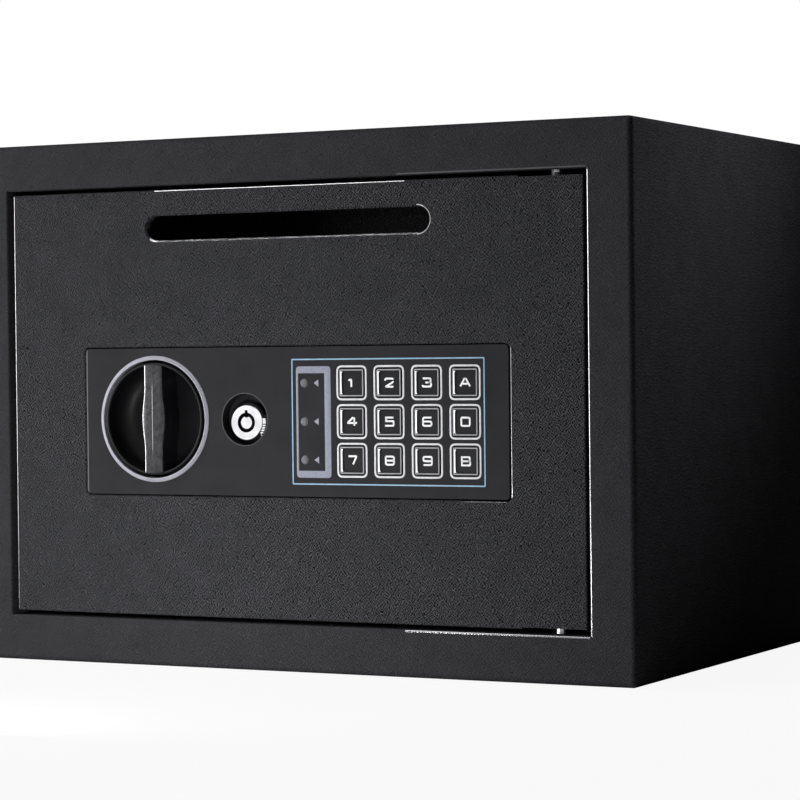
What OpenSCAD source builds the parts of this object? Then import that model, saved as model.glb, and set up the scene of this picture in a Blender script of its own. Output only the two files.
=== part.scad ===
// Electronic drop safe with a deposit slot in its door.
// X runs to the right seen from the front, Y runs into the safe and Z runs up.
// The origin lies on the floor under the middle of the case.
// Depths are measured from the front face of the case.

/* [Case] */
// Outside width of the case
case_w = 350; // [340:1:400]
// Outside depth of the case
case_d = 250; // [200:1:320]
// Outside height of the case
case_h = 250; // [250:1:300]
// Thickness of the case sheet
case_t = 2; // [1.5:0.1:2.4]
// Outside radius of the folded edges
bend_r = 2.6; // [2.5:0.1:4]
// Width of the face round the door
border = 22; // [20:0.5:24]
// Depth of the flange folded back round the opening
return_d = 14; // [12:0.5:18]
// Radius on the front edge of the opening
opening_edge_r = 1; // [0.4:0.1:1.2]

/* [Anchoring] */
// Radius of the anchor holes
anchor_r = 5; // [3:0.5:7]
// Distance between the two holes in the floor
floor_pitch = 200; // [120:5:260]
// Distance between the two holes in the back
back_pitch = 200; // [120:5:260]
// Height of the holes in the back
back_hole_z = 150; // [60:5:200]
// Thickness of the floor mat
mat_t = 2; // [1:0.5:4]

/* [Door] */
// Gap between door and opening
door_gap = 2; // [1.8:0.1:2.4]
// Set-back of the door behind the face of the case
door_recess = 2; // [1.5:0.1:2.5]
// Thickness of the door plate
door_t = 4; // [3:0.5:5]
// Radius on the front edge of the door plate
door_edge_r = 0.8; // [0.4:0.1:1.2]
// Thickness of the folded sheet parts on the door
sheet_t = 1.5; // [1:0.1:1.8]

/* [Deposit slot] */
// Length of the deposit slot
slot_w = 150; // [100:1:180]
// Height of the deposit slot
slot_h = 11.8; // [8:0.1:14]
// Distance from the top of the opening to the middle of the slot
slot_drop = 20.1; // [18:0.1:22]
// Broken edge round the mouth of the slot
slot_edge = 0.8; // [0.3:0.1:1.2]
// Depth at which the baffle turns down
baffle_d = 62; // [60:1:72]

/* [Hinge] */
// Distance of the hinge axis from the right edge of the opening
hinge_inset = 17.6; // [17:0.1:22]
// Depth of the hinge axis behind the back of the door plate
hinge_back = 3; // [2.8:0.1:4]
// Radius of the hinge pins
pin_r = 2.5; // [2:0.1:2.7]
// Depth of the clearance notch over each hinge
notch_d = 0.8; // [0.6:0.1:2]
// Length of the clearance notch from the door's right edge
notch_w = 31.8; // [28:0.1:36]
// Height of the bracket that holds a hinge pin
bracket_h = 12; // [8:0.5:13]
// Running clearance of pins, shafts and bolts
run_c = 0.05; // [0.02:0.01:0.08]

/* [Control panel] */
// Width of the control panel
panel_w = 223.5; // [222:0.5:226]
// Height of the control panel
panel_h = 69.4; // [68:0.1:74]
// Gap between panel and door plate
panel_gap = 0.6; // [0.4:0.1:1]
// Thickness of the panel's face
face_t = 2.2; // [1.8:0.1:2.6]
// Corner radius of the panel
panel_r = 2; // [1:0.5:3]
// Broken edge round the panel's window in the door
window_edge = 0.6; // [0.3:0.1:1]
// Depth of the tray behind the door plate
tray_d = 16; // [15:0.5:18]

/* [Knob] */
// Radius over the knob's rim
knob_r = 26.7; // [24:0.1:27.3]
// Width of the knob's rim
rim_w = 1.3; // [1.1:0.1:2]
// Depth of the knob's dish
dish_d = 13; // [9:0.5:13.5]
// Width of the grip at its ends
grip_end_w = 10; // [8:0.1:11]
// Width of the grip where it swells in the middle
grip_mid_w = 12.7; // [11.5:0.1:15]
// Outer radius of the silver bezel
bezel_r = 30; // [29.6:0.1:31]
// Width of the silver bezel seen from the front
bezel_w = 1.9; // [1.7:0.1:2.4]
// Height of the bezel's inner edge above the panel
bezel_h = 0.9; // [0.5:0.1:1.2]

/* [Keypad] */
// Width of one key
key_w = 13; // [11:0.1:14]
// Height of one key
key_h = 13.1; // [11:0.1:14]
// Distance between key columns
key_pitch_x = 19.2; // [18:0.1:19.4]
// Distance between key rows
key_pitch_z = 17.75; // [17:0.05:18.2]
// Travel of a key
key_travel = 1; // [0.6:0.1:1]
// Width of the raised rim round a key's face
key_rim = 1.4; // [1:0.1:2]
// Radius of an indicator lamp
led_r = 2.1; // [1.5:0.1:2.4]

/* [Override lock] */
// Radius of the lock's threaded barrel
barrel_r = 9.5; // [9:0.1:10]
// Radius of the lock's face
lock_face_r = 8.4; // [7.5:0.1:8.8]
// Radius of the well round the lock
well_r = 12.1; // [11.8:0.1:13]
// Outer radius of the tubular keyway
keyway_r = 4.65; // [4.5:0.05:4.9]
// Radius of the post inside the keyway
keypost_r = 3.45; // [3:0.05:3.6]

/* [Bolt work] */
// Radius of the two bolts
bolt_r = 7.5; // [6:0.5:8]
// Distance between the two bolts
bolt_pitch = 88; // [84:1:92]
// Set-back of the retracted bolts from the edge of the opening
bolt_rest = 4; // [3.5:0.5:5]
// Radius at which the drive pin turns
crank_r = 10; // [9:0.5:10.5]
// Radius of the drive pin
crank_pin_r = 3; // [2.5:0.1:3.2]
// Thickness of the bolt carriage
carriage_t = 2.5; // [2:0.1:3]

/* [Solenoid] */
// Lift of the solenoid's plunger
plunger_lift = 3; // [2:0.5:3]
// Radius of the plunger
plunger_r = 3.5; // [3:0.1:3.8]
// Height of the solenoid's frame
solenoid_h = 30; // [26:1:32]

/* [Inner cover] */
// Depth of the inner cover behind the door plate
cover_d = 44; // [43:0.5:48]
// Radius of the reset button
reset_r = 3; // [2.5:0.1:3.5]
// Radius of one battery
battery_r = 7.1; // [7:0.05:7.2]
// Length of one battery
battery_l = 50.5; // [48:0.5:51]

/* [Hidden] */
$fn = 64;

// Cuts run this far past the faces that they open
over = 1;
// Shapes of one solid reach this far into each other
sink = 0.1;

// Case
opening_w = case_w - 2 * border;
opening_h = case_h - 2 * border;
mid_z = case_h / 2;
opening_top = mid_z + opening_h / 2;
mat_gap = 3;
mat_ring = 5;
stop_w = 9;
stop_gap = 0.5;
stop_from_bolt = 10;

// Door and hinges
door_w = opening_w - 2 * door_gap;
door_h = opening_h - 2 * door_gap;
door_back = door_recess + door_t;
hinge_x = opening_w / 2 - hinge_inset;
hinge_y = door_back + hinge_back;
bracket_t = 2;
bracket_d = 10;
bracket_left = 11.4;
bracket_right = 7.6;
bracket_drop = 4;
bracket_top = opening_h / 2 - bracket_drop;
pin_out = 5;

// Deposit slot and baffle
slot_z = opening_top - slot_drop;
slot_low = slot_z - slot_h / 2;
flare_out = 0.3;
baffle_side = 7;
baffle_rise = 6;
baffle_drop = 8;
baffle_turn = 4;
baffle_bevel = 6;
baffle_flange = 4;
baffle_w = slot_w + 2 * baffle_side;
baffle_z = slot_z + slot_h / 2 + baffle_rise;
baffle_low = slot_low - baffle_drop;
baffle_back = baffle_d + baffle_turn;

// Control panel and its tray
panel_x = 2.15;
panel_drop = 8.8;
panel_z = mid_z - panel_drop;
face_back = door_recess + face_t;
window_w = panel_w + 2 * panel_gap;
window_h = panel_h + 2 * panel_gap;
tray_back = door_back + tray_d;
tray_floor = tray_back - sheet_t;
tray_flange = 8;
tray_flange_in = 5;
skirt_t = 1.6;
skirt_in = 1;
skirt_gap = 1;
skirt_back = tray_floor - skirt_gap;
boss_r = 3.2;
boss_in = 6.5;
pilot_r = 1.6;
pilot_d = 9;
screw_r = 1.5;
screw_d = 8;
screw_head_r = 2.9;
screw_head_t = 1.9;
board_post_r = 2;
board_post_in = 3.5;
board_post_low = 7.4;
rib_t = 1.2;
rib_d = 3;

// Knob
knob_side = 73.45;
knob_rise = 1.2;
knob_x = panel_x - knob_side;
knob_z = panel_z + knob_rise;
rim_top = 1.1;
rim_edge = 0.4;
dish_r = knob_r - rim_w;
dish_floor = rim_top + dish_d;
dish_round = 8;
knob_floor_t = 1.7;
knob_back = dish_floor + knob_floor_t;
knob_bevel = 3.5;
hub_r = 8;
hub_gap = 0.5;
hub_back = tray_floor - hub_gap;
grip_top = 0.2;
grip_crest = 0.7;
grip_shoulder = 4.6;
grip_shoulder_d = 0.5;
grip_crown_d = 1.6;
grip_swell = 0.62;
shaft_r = 4;
shaft_in = 3;
shaft_head = 2;
shaft_head_t = 0.8;
bezel_in = bezel_r - bezel_w;
bezel_t = 0.8;
bezel_d = 4;
bezel_lip = 0.5;
bezel_rise = 0.35;
bezel_edge = 0.2;
knob_well_r = bezel_in + bezel_t + run_c;
knob_well_d = 5;

// Mechanism plate behind the tray, the knob shaft's bush and the drive cam
plate_t = 2;
plate_back = tray_back + plate_t;
bush_r = 6;
bush_flange_r = 8.5;
bush_flange_t = 1.5;
cam_gap = 2.5;
cam_front = plate_back + cam_gap;
cam_t = 3;
cam_back = cam_front + cam_t;
cam_hub_r = 8;
cam_wall = 2.5;

// Keypad
keypad_right = 79.15;
keypad_rise = 17.85;
keypad_x = panel_x + panel_w / 2 - keypad_right;
keypad_z = panel_z + keypad_rise;
led_side = 25.05;
led_x = keypad_x - led_side;
led_c = 0.1;
led_out = 0.2;
led_edge = 0.8;
led_dome = 0.6;
key_c = 0.3;
key_out = 0.3;
key_top = door_recess - key_out;
key_r = 1.5;
key_face_r = 0.8;
key_sink = 0.6;
flange_w = 0.9;
flange_t = 0.8;
flange_front = face_back + key_c;
stem_r = 1.5;
stem_l = 1.4;
stem_end = flange_front + flange_t + stem_l;
stem_c = 0.7;
stem_gap = 0.3;
mat_front = stem_end + key_travel + stem_gap;
dome_r = 4;
dome_h = 0.8;
pad_t = 1;
pad_back = mat_front + pad_t;
pad_in = 6;
pad_left = 3.5;
pad_right = 2;
pad_x0 = keypad_x - key_w / 2 - pad_left;
pad_x1 = keypad_x + 3 * key_pitch_x + key_w / 2 + pad_right;
board_t = 1.6;
board_in = 5;
board_left = 11.75;
board_right = 2.7;
board_x0 = led_x - board_left;
board_x1 = pad_x1 + board_right;
board_back = pad_back + board_t;
plug_side = 58;
plug_low = 10;
plug_w = 14;
plug_h = 6;
plug_d = 4;
cable_x = panel_x + plug_side;
cable_z = panel_z - plug_low;
plug_back = board_back + plug_d;
chip_x = 31;
chip_w = 14;
chip_h = 8;
chip_t = 1.8;
buzzer_x = 84;
buzzer_z = 14;
buzzer_r = 6;
buzzer_d = 5;
buzzer_hole_r = 1;
buzzer_edge = 0.6;
cable_w = 10;
cable_t = 1;
cable_step = 4;
cable_c = 4;

// Override lock
lock_side = 24.15;
lock_rise = -0.5;
well_rise = 1.5;
lock_x = panel_x - lock_side;
lock_z = panel_z + lock_rise;
well_z = lock_z + well_rise;
lock_in = 1.5;
lock_front = door_recess + lock_in;
lock_edge = 0.4;
neck_d = 1;
neck_slope = 0.6;
well_d = 4.5;
well_t = 1.5;
well_floor = lock_front + well_d;
barrel_c = 0.2;
nut_r = 14;
nut_t = 3.5;
lock_cam_gap = 4.2;
lock_cam_t = 2.5;
lock_cam_front = plate_back + lock_cam_gap;
lock_cam_back = lock_cam_front + lock_cam_t;
lock_cam_c = 0.4;
keyway_d = 8.5;
keyway_back = lock_front + keyway_d;
keyway_c = 0.1;
keyway_notch_w = 1.5;
keyway_notch_h = 1.1;
keypost_in = 0.2;
keypost_notch = 1.1;
keypost_notch_d = 3;
keypost_edge = 0.3;
rotor_t = 2;
spindle_r = 3.6;
spindle_end_r = 3;
spindle_head_r = 5;
spindle_head_t = 2;
cam_boss_r = 6.5;
cam_lead = 5;
cam_lead_low = 2;
cam_hole_r = 5;
cam_hole_off = 12;

// Bolt work. The drive pin starts 45 degrees right of the top and swings over it to the left.
bolt_throw = 2 * crank_r * sin(45);
bolt_gap = 11;
bolt_y = plate_back + bolt_gap;
bolt_tip = -opening_w / 2 + bolt_rest;
bolt_edge = 1.2;
bolt_out = 15;
bolt_zs = [knob_z - bolt_pitch / 2, knob_z + bolt_pitch / 2];
guide_x = bolt_tip + bolt_out;
guide_w = 15;
guide_d = 3;
carriage_gap = 0.5;
carriage_x0 = guide_x + plate_t + bolt_throw + carriage_gap;
carriage_strip = 30;
carriage_front = bolt_y - carriage_t / 2;
carriage_back = bolt_y + carriage_t / 2;
bolt_socket = 8;
crank_x = knob_x + crank_r * sin(45);
crank_z = knob_z + crank_r * cos(45);
crank_slip = 0.4;
crank_over = 0.8;
web_low = 6;
web_right = 12;
hub_c = 3;
post_side = 7;
post_x = carriage_x0 + post_side;
post_half = 20;
post_zs = [knob_z - post_half, knob_z + post_half];
post_r = 3;
post_c = 0.2;
post_lift = 0.3;
shoulder_r = 5;
shoulder_t = 2;

// Solenoid above the lock, its plunger standing over the carriage's tongue
collar_rise = 26.2;
collar_low = lock_z + collar_rise;
collar_t = 1.5;
collar_r = 7;
tip_l = 3.7;
tip_low = collar_low - tip_l;
tip_edge = 0.6;
tip_gap = 0.3;
tongue_h = 8;
tongue_top = tip_low - tip_gap;
tongue_end = 6;
notch_in = 5;
notch_c = 0.8;
notch_x = lock_x + bolt_throw;
notch_half = plunger_r + notch_c;
spring_l = 8.5;
wire_r = 0.35;
spring_c = 1.2;
coil_low = collar_low + collar_t + spring_l;
coil_top = coil_low + solenoid_h;
solenoid_w = 24;
solenoid_t = 2;
solenoid_c = 0.1;
bobbin_r = 9;
bobbin_flange_t = 1.2;
bobbin_lip = 1;
bobbin_gap = 1.5;
lock_cam_r = collar_low - lock_z - lock_cam_c;

// Mechanism plate's outline
plate_x0 = guide_x;
plate_right = 30;
plate_x1 = lock_x + plate_right;
plate_edge = 1;
plate_z0 = bolt_zs[0] - guide_w;
plate_z1 = coil_top + plate_edge;
hole_r = 9;
hole_low = 14;
hole_pitch = 30;
hole_side = 4.5;
hole_xs = [knob_x + hole_side - hole_pitch / 2, knob_x + hole_side + hole_pitch / 2];

// Inner cover
cover_back = door_back + cover_d;
cover_t = 1.5;
cover_inside = cover_back - cover_t;
cover_left = 3.5;
cover_right = 2;
cover_gap = 3.3;
cover_low = 26;
cover_c = 0.3;
cover_x0 = guide_x - cover_left;
cover_x1 = panel_x + window_w / 2 + sheet_t + cover_right;
cover_z1 = slot_low - cover_gap;
cover_z0 = bolt_zs[0] - bolt_r - cover_low;
bolt_c = 0.5;
stand_in = 6;
stand_up = 5;
stand_r = 3.5;
stand_pilot_d = 10;
stand_c = 1;
cover_screw_d = 9;
cover_screw_r = 3.6;
cover_screw_h = 1.9;
cover_screw_c = 0.2;

// Battery box, its sliding cover and the reset button
box_t = 1.5;
battery_gap = 0.2;
battery_pitch = 2 * (battery_r + battery_gap);
nub_r = 2.7;
nub_l = 1;
bay_end = 3.5;
bay_right = 22.35;
bay_low = 15;
bay_w = battery_l + bay_end;
bay_h = 4 * battery_pitch;
bay_x0 = cover_x1 - cover_t - bay_right - bay_w;
bay_x1 = bay_x0 + bay_w;
bay_z0 = cover_z0 + cover_t + bay_low;
bay_z1 = bay_z0 + bay_h;
bay_c = 1;
bay_floor = cover_inside - battery_pitch - bay_c;
lid_t = 1.6;
lid_c = 0.2;
lid_over = 5;
lid_z0 = bay_z0 - lid_over;
lid_z1 = bay_z1 + lid_over;
rail_t = 1.4;
rail_lip = 1.6;
rail_lip_t = 1;
rail_front = cover_back + lid_t + 3 * lid_c;
rail_back = rail_front + rail_lip_t;
groove_pitch = 3;
groove_w = 1.2;
groove_d = 0.6;
groove_h = 24;
reset_in = 14;
reset_rise = 34;
reset_x = cover_x1 - reset_in;
reset_z = panel_z + reset_rise;
reset_c = 0.3;
reset_out = 2;
reset_edge = 0.6;
reset_stem_r = 2;
reset_flange_r = 4.5;
reset_flange_d = 2;
reset_stem_d = 5.5;
cup_r = 7;
cup_in_r = 5;
cup_d = 10;
cup_floor_d = 7.5;

KEYS = [
    ["key_1", 0, 0], ["key_2", 1, 0], ["key_3", 2, 0], ["key_a", 3, 0],
    ["key_4", 0, 1], ["key_5", 1, 1], ["key_6", 2, 1], ["key_0", 3, 1],
    ["key_7", 0, 2], ["key_8", 1, 2], ["key_9", 2, 2], ["key_b", 3, 2]
];

// Puts a shape drawn from the front face of the case into the part's own frame
module placed() {
    translate([0, -case_d / 2, 0]) children();
}

// An outline in X and Z, carried from depth y0 to depth y1
module slab(y0, y1) {
    translate([0, y1, 0]) rotate([90, 0, 0]) linear_extrude(y1 - y0) children();
}

// An outline in Y and Z, carried from x0 to x1
module strip(x0, x1) {
    translate([x0, 0, 0]) rotate([90, 0, 90]) linear_extrude(x1 - x0) children();
}

// A profile of radius and depth, turned round an axis that runs into the safe
module turned(x, z) {
    translate([x, 0, z]) rotate([-90, 0, 0]) rotate_extrude() children();
}

module rod_y(x, z, r, y0, y1) {
    translate([x, y0, z]) rotate([-90, 0, 0]) cylinder(r = r, h = y1 - y0);
}

module rod_x(y, z, r, x0, x1) {
    translate([x0, y, z]) rotate([0, 90, 0]) cylinder(r = r, h = x1 - x0);
}

module rod_z(x, y, r, z0, z1) {
    translate([x, y, z0]) cylinder(r = r, h = z1 - z0);
}

module block(x0, x1, y0, y1, z0, z1) {
    translate([x0, y0, z0]) cube([x1 - x0, y1 - y0, z1 - z0]);
}

module rounded(w, h, r) {
    square([w - 2 * r, h], center = true);
    square([w, h - 2 * r], center = true);
    for (sx = [-1, 1], sz = [-1, 1]) {
        translate([sx * (w / 2 - r), sz * (h / 2 - r)]) circle(r = r);
    }
}

module stadium(l, h) {
    square([l - h, h], center = true);
    for (s = [-1, 1]) translate([s * (l - h) / 2, 0]) circle(d = h);
}

// The sharp corner that a rounding of radius r takes off an upright edge at the origin,
// for metal lying towards -X and +Y
module edge_waste(len, r) {
    difference() {
        translate([-r, -over, -len / 2]) cube([r + over, r + over, len]);
        translate([-r, r, -len / 2 - over]) cylinder(r = r, h = len + 2 * over);
    }
}

// Rounds the front edges of a plate of w by h round the given centre
module front_edges(z, w, h, r) {
    translate([0, 0, z]) for (m = [0, 1]) {
        mirror([m, 0, 0]) translate([w / 2, 0, 0]) edge_waste(h + 2 * over, r);
        mirror([0, 0, m]) translate([0, 0, h / 2]) rotate([0, -90, 0]) edge_waste(w + 2 * over, r);
    }
}

// Rounds the front edges of an opening of w by h
module opening_edges(z, w, h, r) {
    translate([0, 0, z]) for (m = [0, 1]) {
        mirror([m, 0, 0]) translate([w / 2, 0, 0]) mirror([1, 0, 0]) edge_waste(h, r);
        mirror([0, 0, m]) translate([0, 0, h / 2]) mirror([0, 0, 1])
            rotate([0, -90, 0]) edge_waste(w, r);
    }
}

// Draws its children at the top and, mirrored, at the bottom of the door
module both_ends() {
    for (m = [0, 1]) translate([0, 0, mid_z]) mirror([0, 0, m]) children();
}

// Case: the wrapper with its folded front face and the flanges that turn back round the opening
module case_shell() color("#26272a") placed() {
    difference() {
        union() {
            difference() {
                slab(0, case_d) translate([0, mid_z]) rounded(case_w, case_h, bend_r);
                slab(case_t, case_d + over) translate([0, mid_z])
                    rounded(case_w - 2 * case_t, case_h - 2 * case_t, bend_r - case_t);
            }
            slab(case_t / 2, return_d) translate([0, mid_z])
                square([opening_w + 2 * case_t, opening_h + 2 * case_t], center = true);
        }
        slab(-over, return_d + over) translate([0, mid_z]) square([opening_w, opening_h], center = true);
        front_edges(mid_z, case_w, case_h, bend_r);
        opening_edges(mid_z, opening_w, opening_h, opening_edge_r);
        rod_z(hinge_x, hinge_y, pin_r + run_c, case_t + over, case_h - case_t - over);
        for (s = [-1, 1]) rod_z(s * floor_pitch / 2, case_d / 2, anchor_r, -over, case_t + over);
    }
}

module back_panel() color("#232427") placed() {
    difference() {
        slab(case_d - case_t, case_d) translate([0, mid_z])
            rounded(case_w - 2 * case_t, case_h - 2 * case_t, bend_r - case_t);
        for (s = [-1, 1])
            rod_y(s * back_pitch / 2, back_hole_z, anchor_r, case_d - case_t - over, case_d + over);
    }
}

// Angle welded to the lock-side flange, between the two bolts, that the closed door lands on
module door_stop() color("#2a2b2e") placed() {
    stop_x = -opening_w / 2;
    stop_front = door_back + stop_gap;
    stop_half = bolt_pitch / 2 - bolt_r - stop_from_bolt;
    block(stop_x, stop_x + stop_w, stop_front, stop_front + case_t, knob_z - stop_half, knob_z + stop_half);
    block(stop_x, stop_x + case_t, stop_front + case_t, return_d, knob_z - stop_half, knob_z + stop_half);
}

module floor_mat() color("#3a3b40") placed() {
    half_w = case_w / 2 - case_t - mat_gap;
    difference() {
        block(-half_w, half_w, return_d + mat_gap, case_d - case_t - mat_gap, case_t, case_t + mat_t);
        for (s = [-1, 1])
            rod_z(s * floor_pitch / 2, case_d / 2, anchor_r + mat_ring, case_t - over, case_t + mat_t + over);
    }
}

// Slot with its broken edge, as a shape to take out of the door plate
module slot_waste() {
    half = (slot_w - slot_h) / 2;
    slab(door_recess - over, door_back + over) translate([0, slot_z]) stadium(slot_w, slot_h);
    translate([0, 0, slot_z]) {
        flare_corners([-half, half], [0], slot_h / 2, slot_edge);
        strip(-half, half) flare_profile(slot_h, slot_edge);
    }
}

// Flared profile of an opening of height h whose front edge is broken by c
module flare_profile(h, c) {
    translate([door_recess, 0]) polygon([
        [-flare_out, -h / 2 - c - flare_out], [c, -h / 2], [c, h / 2], [-flare_out, h / 2 + c + flare_out]
    ]);
}

// Cones that break the front edge by c round the corners, of radius r, of an opening
module flare_corners(xs, zs, r, c) {
    for (x = xs, z = zs) translate([x, door_recess - flare_out, z]) rotate([-90, 0, 0])
        cylinder(r1 = r + c + flare_out, r2 = r, h = c + flare_out);
}

// Window for the control panel with its broken edge, as a shape to take out of the door plate
module window_waste() {
    r = panel_r + panel_gap;
    half_w = window_w / 2 - r;
    half_h = window_h / 2 - r;
    slab(door_recess - over, door_back + over) translate([panel_x, panel_z]) rounded(window_w, window_h, r);
    translate([panel_x, 0, panel_z]) {
        flare_corners([-half_w, half_w], [-half_h, half_h], r, window_edge);
        strip(-half_w, half_w) flare_profile(window_h, window_edge);
        rotate([0, 90, 0]) strip(-half_h, half_h) flare_profile(window_w, window_edge);
    }
}

module door_plate() color("#26272a") placed() {
    difference() {
        slab(door_recess, door_back) translate([0, mid_z]) square([door_w, door_h], center = true);
        translate([0, door_recess, 0]) front_edges(mid_z, door_w, door_h, door_edge_r);
        slot_waste();
        window_waste();
        both_ends() block(door_w / 2 - notch_w, door_w / 2 + over, door_recess - over, door_back + over,
                          door_h / 2 - notch_d, door_h / 2 + over);
    }
}

// Folded brackets, top and bottom, that hold the hinge pins behind the door plate
module hinge_brackets() color("#2a2b2e") placed() {
    x0 = hinge_x - bracket_left;
    x1 = hinge_x + bracket_right;
    low = bracket_top - bracket_h;
    both_ends() difference() {
        block(x0, x1, door_back, door_back + bracket_d, low, bracket_top);
        block(x0 + bracket_t, x1 + over, door_back - over, door_back + bracket_d + over,
              low + bracket_t, bracket_top - bracket_t);
        rod_z(hinge_x, hinge_y, pin_r, low - over, bracket_top + over);
    }
}

module hinge_pins() color("#9a9ba0") placed() {
    both_ends() rod_z(hinge_x, hinge_y, pin_r, bracket_top - bracket_h, opening_h / 2 + case_t + pin_out);
}

// Hood behind the slot: its sheet runs back over the inner cover and turns down behind it
module slot_baffle() color("#2a2b2e") placed() {
    foot = cover_z1 + cover_c;
    roof = baffle_z + sheet_t;
    difference() {
        strip(-baffle_w / 2, baffle_w / 2) polygon([
            [door_back, foot], [baffle_d, foot], [baffle_d, baffle_low], [baffle_back, baffle_low],
            [baffle_back, baffle_z - baffle_bevel], [baffle_d - baffle_bevel, roof],
            [door_back + sheet_t, roof], [door_back + sheet_t, baffle_z + baffle_flange],
            [door_back, baffle_z + baffle_flange]
        ]);
        strip(-baffle_w / 2 + sheet_t, baffle_w / 2 - sheet_t) polygon([
            [door_back - over, baffle_low - over], [baffle_back - sheet_t, baffle_low - over],
            [baffle_back - sheet_t, baffle_z - baffle_bevel - sheet_t / 2],
            [baffle_d - baffle_bevel - sheet_t / 2, baffle_z], [door_back - over, baffle_z]
        ]);
    }
}

// Draws its children round each of the panel's four screws
module panel_corners(sides = [-1, 1]) {
    for (sx = sides, sz = [-1, 1])
        translate([panel_x + sx * (panel_w / 2 - boss_in), 0, panel_z + sz * (panel_h / 2 - boss_in)])
            children();
}

// Draws its children round the axis of each key
module at_keys() {
    for (k = KEYS) translate([keypad_x + k[1] * key_pitch_x, 0, keypad_z - k[2] * key_pitch_z]) children();
}

// Welded steel tray that closes the door behind the panel
module panel_tray() color("#2a2b2e") placed() {
    difference() {
        union() {
            slab(door_back, tray_back) translate([panel_x, panel_z])
                rounded(window_w + 2 * sheet_t, window_h + 2 * sheet_t, panel_r + panel_gap + sheet_t);
            slab(door_back, door_back + sheet_t) translate([panel_x, panel_z])
                square([window_w - 2 * tray_flange_in, window_h + 2 * sheet_t + 2 * tray_flange],
                       center = true);
        }
        slab(door_back - over, tray_floor) translate([panel_x, panel_z])
            rounded(window_w, window_h, panel_r + panel_gap);
        rod_y(knob_x, knob_z, bush_r + run_c, tray_floor - over, tray_back + over);
        rod_y(lock_x, lock_z, barrel_r + run_c, tray_floor - over, tray_back + over);
        block(cable_x - cable_w / 2 - cable_c, cable_x + cable_w / 2 + cable_c,
              tray_floor - over, tray_back + over, cable_z - 2 * cable_c, cable_z + cable_c);
        panel_corners() rod_y(0, 0, pilot_r, tray_floor - over, tray_back + over);
    }
}

// Moulded housing of the controls: face, skirt, wells for knob and lock, screw bosses and ribs
module control_panel() color("#37383c") placed() {
    inner_w = panel_w - 2 * skirt_in - 2 * skirt_t;
    inner_h = panel_h - 2 * skirt_in - 2 * skirt_t;
    front = door_recess + sink;
    post_off = panel_h / 2 - board_post_low;
    difference() {
        union() {
            slab(door_recess, face_back) translate([panel_x, panel_z]) rounded(panel_w, panel_h, panel_r);
            difference() {
                slab(front, skirt_back) translate([panel_x, panel_z])
                    rounded(panel_w - 2 * skirt_in, panel_h - 2 * skirt_in, panel_r);
                slab(face_back, tray_floor) translate([panel_x, panel_z])
                    square([inner_w, inner_h], center = true);
            }
            rod_y(knob_x, knob_z, knob_well_r + skirt_t, front, face_back + knob_well_d);
            rod_y(lock_x, well_z, well_r + skirt_t, front, well_floor + well_t);
            panel_corners() rod_y(0, 0, boss_r, front, tray_floor);
            for (x = [board_x0 + board_post_in, pad_x0 - board_post_in], s = [-1, 1])
                rod_y(x, panel_z + s * post_off, board_post_r, front, pad_back);
            for (s = [-1, 1])
                block(lock_x + well_r, board_x0 + board_post_in, front, face_back + rib_d,
                      panel_z + s * post_off - rib_t / 2, panel_z + s * post_off + rib_t / 2);
        }
        rod_y(knob_x, knob_z, knob_well_r, door_recess - over, face_back + knob_well_d + over);
        rod_y(lock_x, well_z, well_r, door_recess - over, well_floor);
        rod_y(lock_x, lock_z, barrel_r + barrel_c, well_floor - over, well_floor + well_t + over);
        at_keys() slab(door_recess - over, face_back + over)
            rounded(key_w + 2 * key_c, key_h + 2 * key_c, key_r + key_c);
        for (j = [0:2])
            rod_y(led_x, keypad_z - j * key_pitch_z, led_r + led_c, door_recess - over, face_back + over);
        panel_corners() rod_y(0, 0, pilot_r, tray_floor - pilot_d, tray_floor + over);
    }
}

// Silver ring round the knob, pressed into the panel
module knob_bezel() color("#a9a9b3") placed() {
    turned(knob_x, knob_z) polygon([
        [bezel_in, door_recess - bezel_h], [bezel_in + bezel_lip, door_recess - bezel_h],
        [bezel_r - bezel_edge, door_recess - bezel_rise], [bezel_r, door_recess - bezel_edge / 2],
        [bezel_r, door_recess], [bezel_in + bezel_t, door_recess],
        [bezel_in + bezel_t, face_back + bezel_d], [bezel_in, face_back + bezel_d]
    ]);
}

// Four screws hold the panel in its tray; the two on the left hold the mechanism plate as well
module panel_screws() color("#b8b9bd") placed() {
    panel_corners() rod_y(0, 0, screw_r, tray_floor - screw_d, tray_back);
    panel_corners([1]) rod_y(0, 0, screw_head_r, tray_back, tray_back + screw_head_t);
    panel_corners([-1]) rod_y(0, 0, screw_r, tray_back - sink, plate_back + sink);
    panel_corners([-1]) rod_y(0, 0, screw_head_r, plate_back, plate_back + screw_head_t);
}

// One key: a cap with a raised rim round a sunk face, a retaining flange and a stem
module key_cap(col, row) color("#2c2d31") placed() {
    translate([keypad_x + col * key_pitch_x, 0, keypad_z - row * key_pitch_z]) {
        difference() {
            slab(key_top, flange_front + sink) rounded(key_w, key_h, key_r);
            slab(key_top - over, key_top + key_sink)
                rounded(key_w - 2 * key_rim, key_h - 2 * key_rim, key_face_r);
        }
        slab(flange_front, flange_front + flange_t)
            square([key_w + 2 * flange_w, key_h + 2 * flange_w], center = true);
        rod_y(0, 0, stem_r, flange_front, stem_end);
    }
}

module keypad_mat() color("#55565c") placed() {
    difference() {
        union() {
            block(pad_x0, pad_x1, mat_front, pad_back,
                  panel_z - panel_h / 2 + pad_in, panel_z + panel_h / 2 - pad_in);
            at_keys() rod_y(0, 0, dome_r, mat_front - dome_h, mat_front + sink);
        }
        at_keys() rod_y(0, 0, stem_r + stem_c, mat_front - dome_h - over, mat_front);
    }
}

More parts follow.
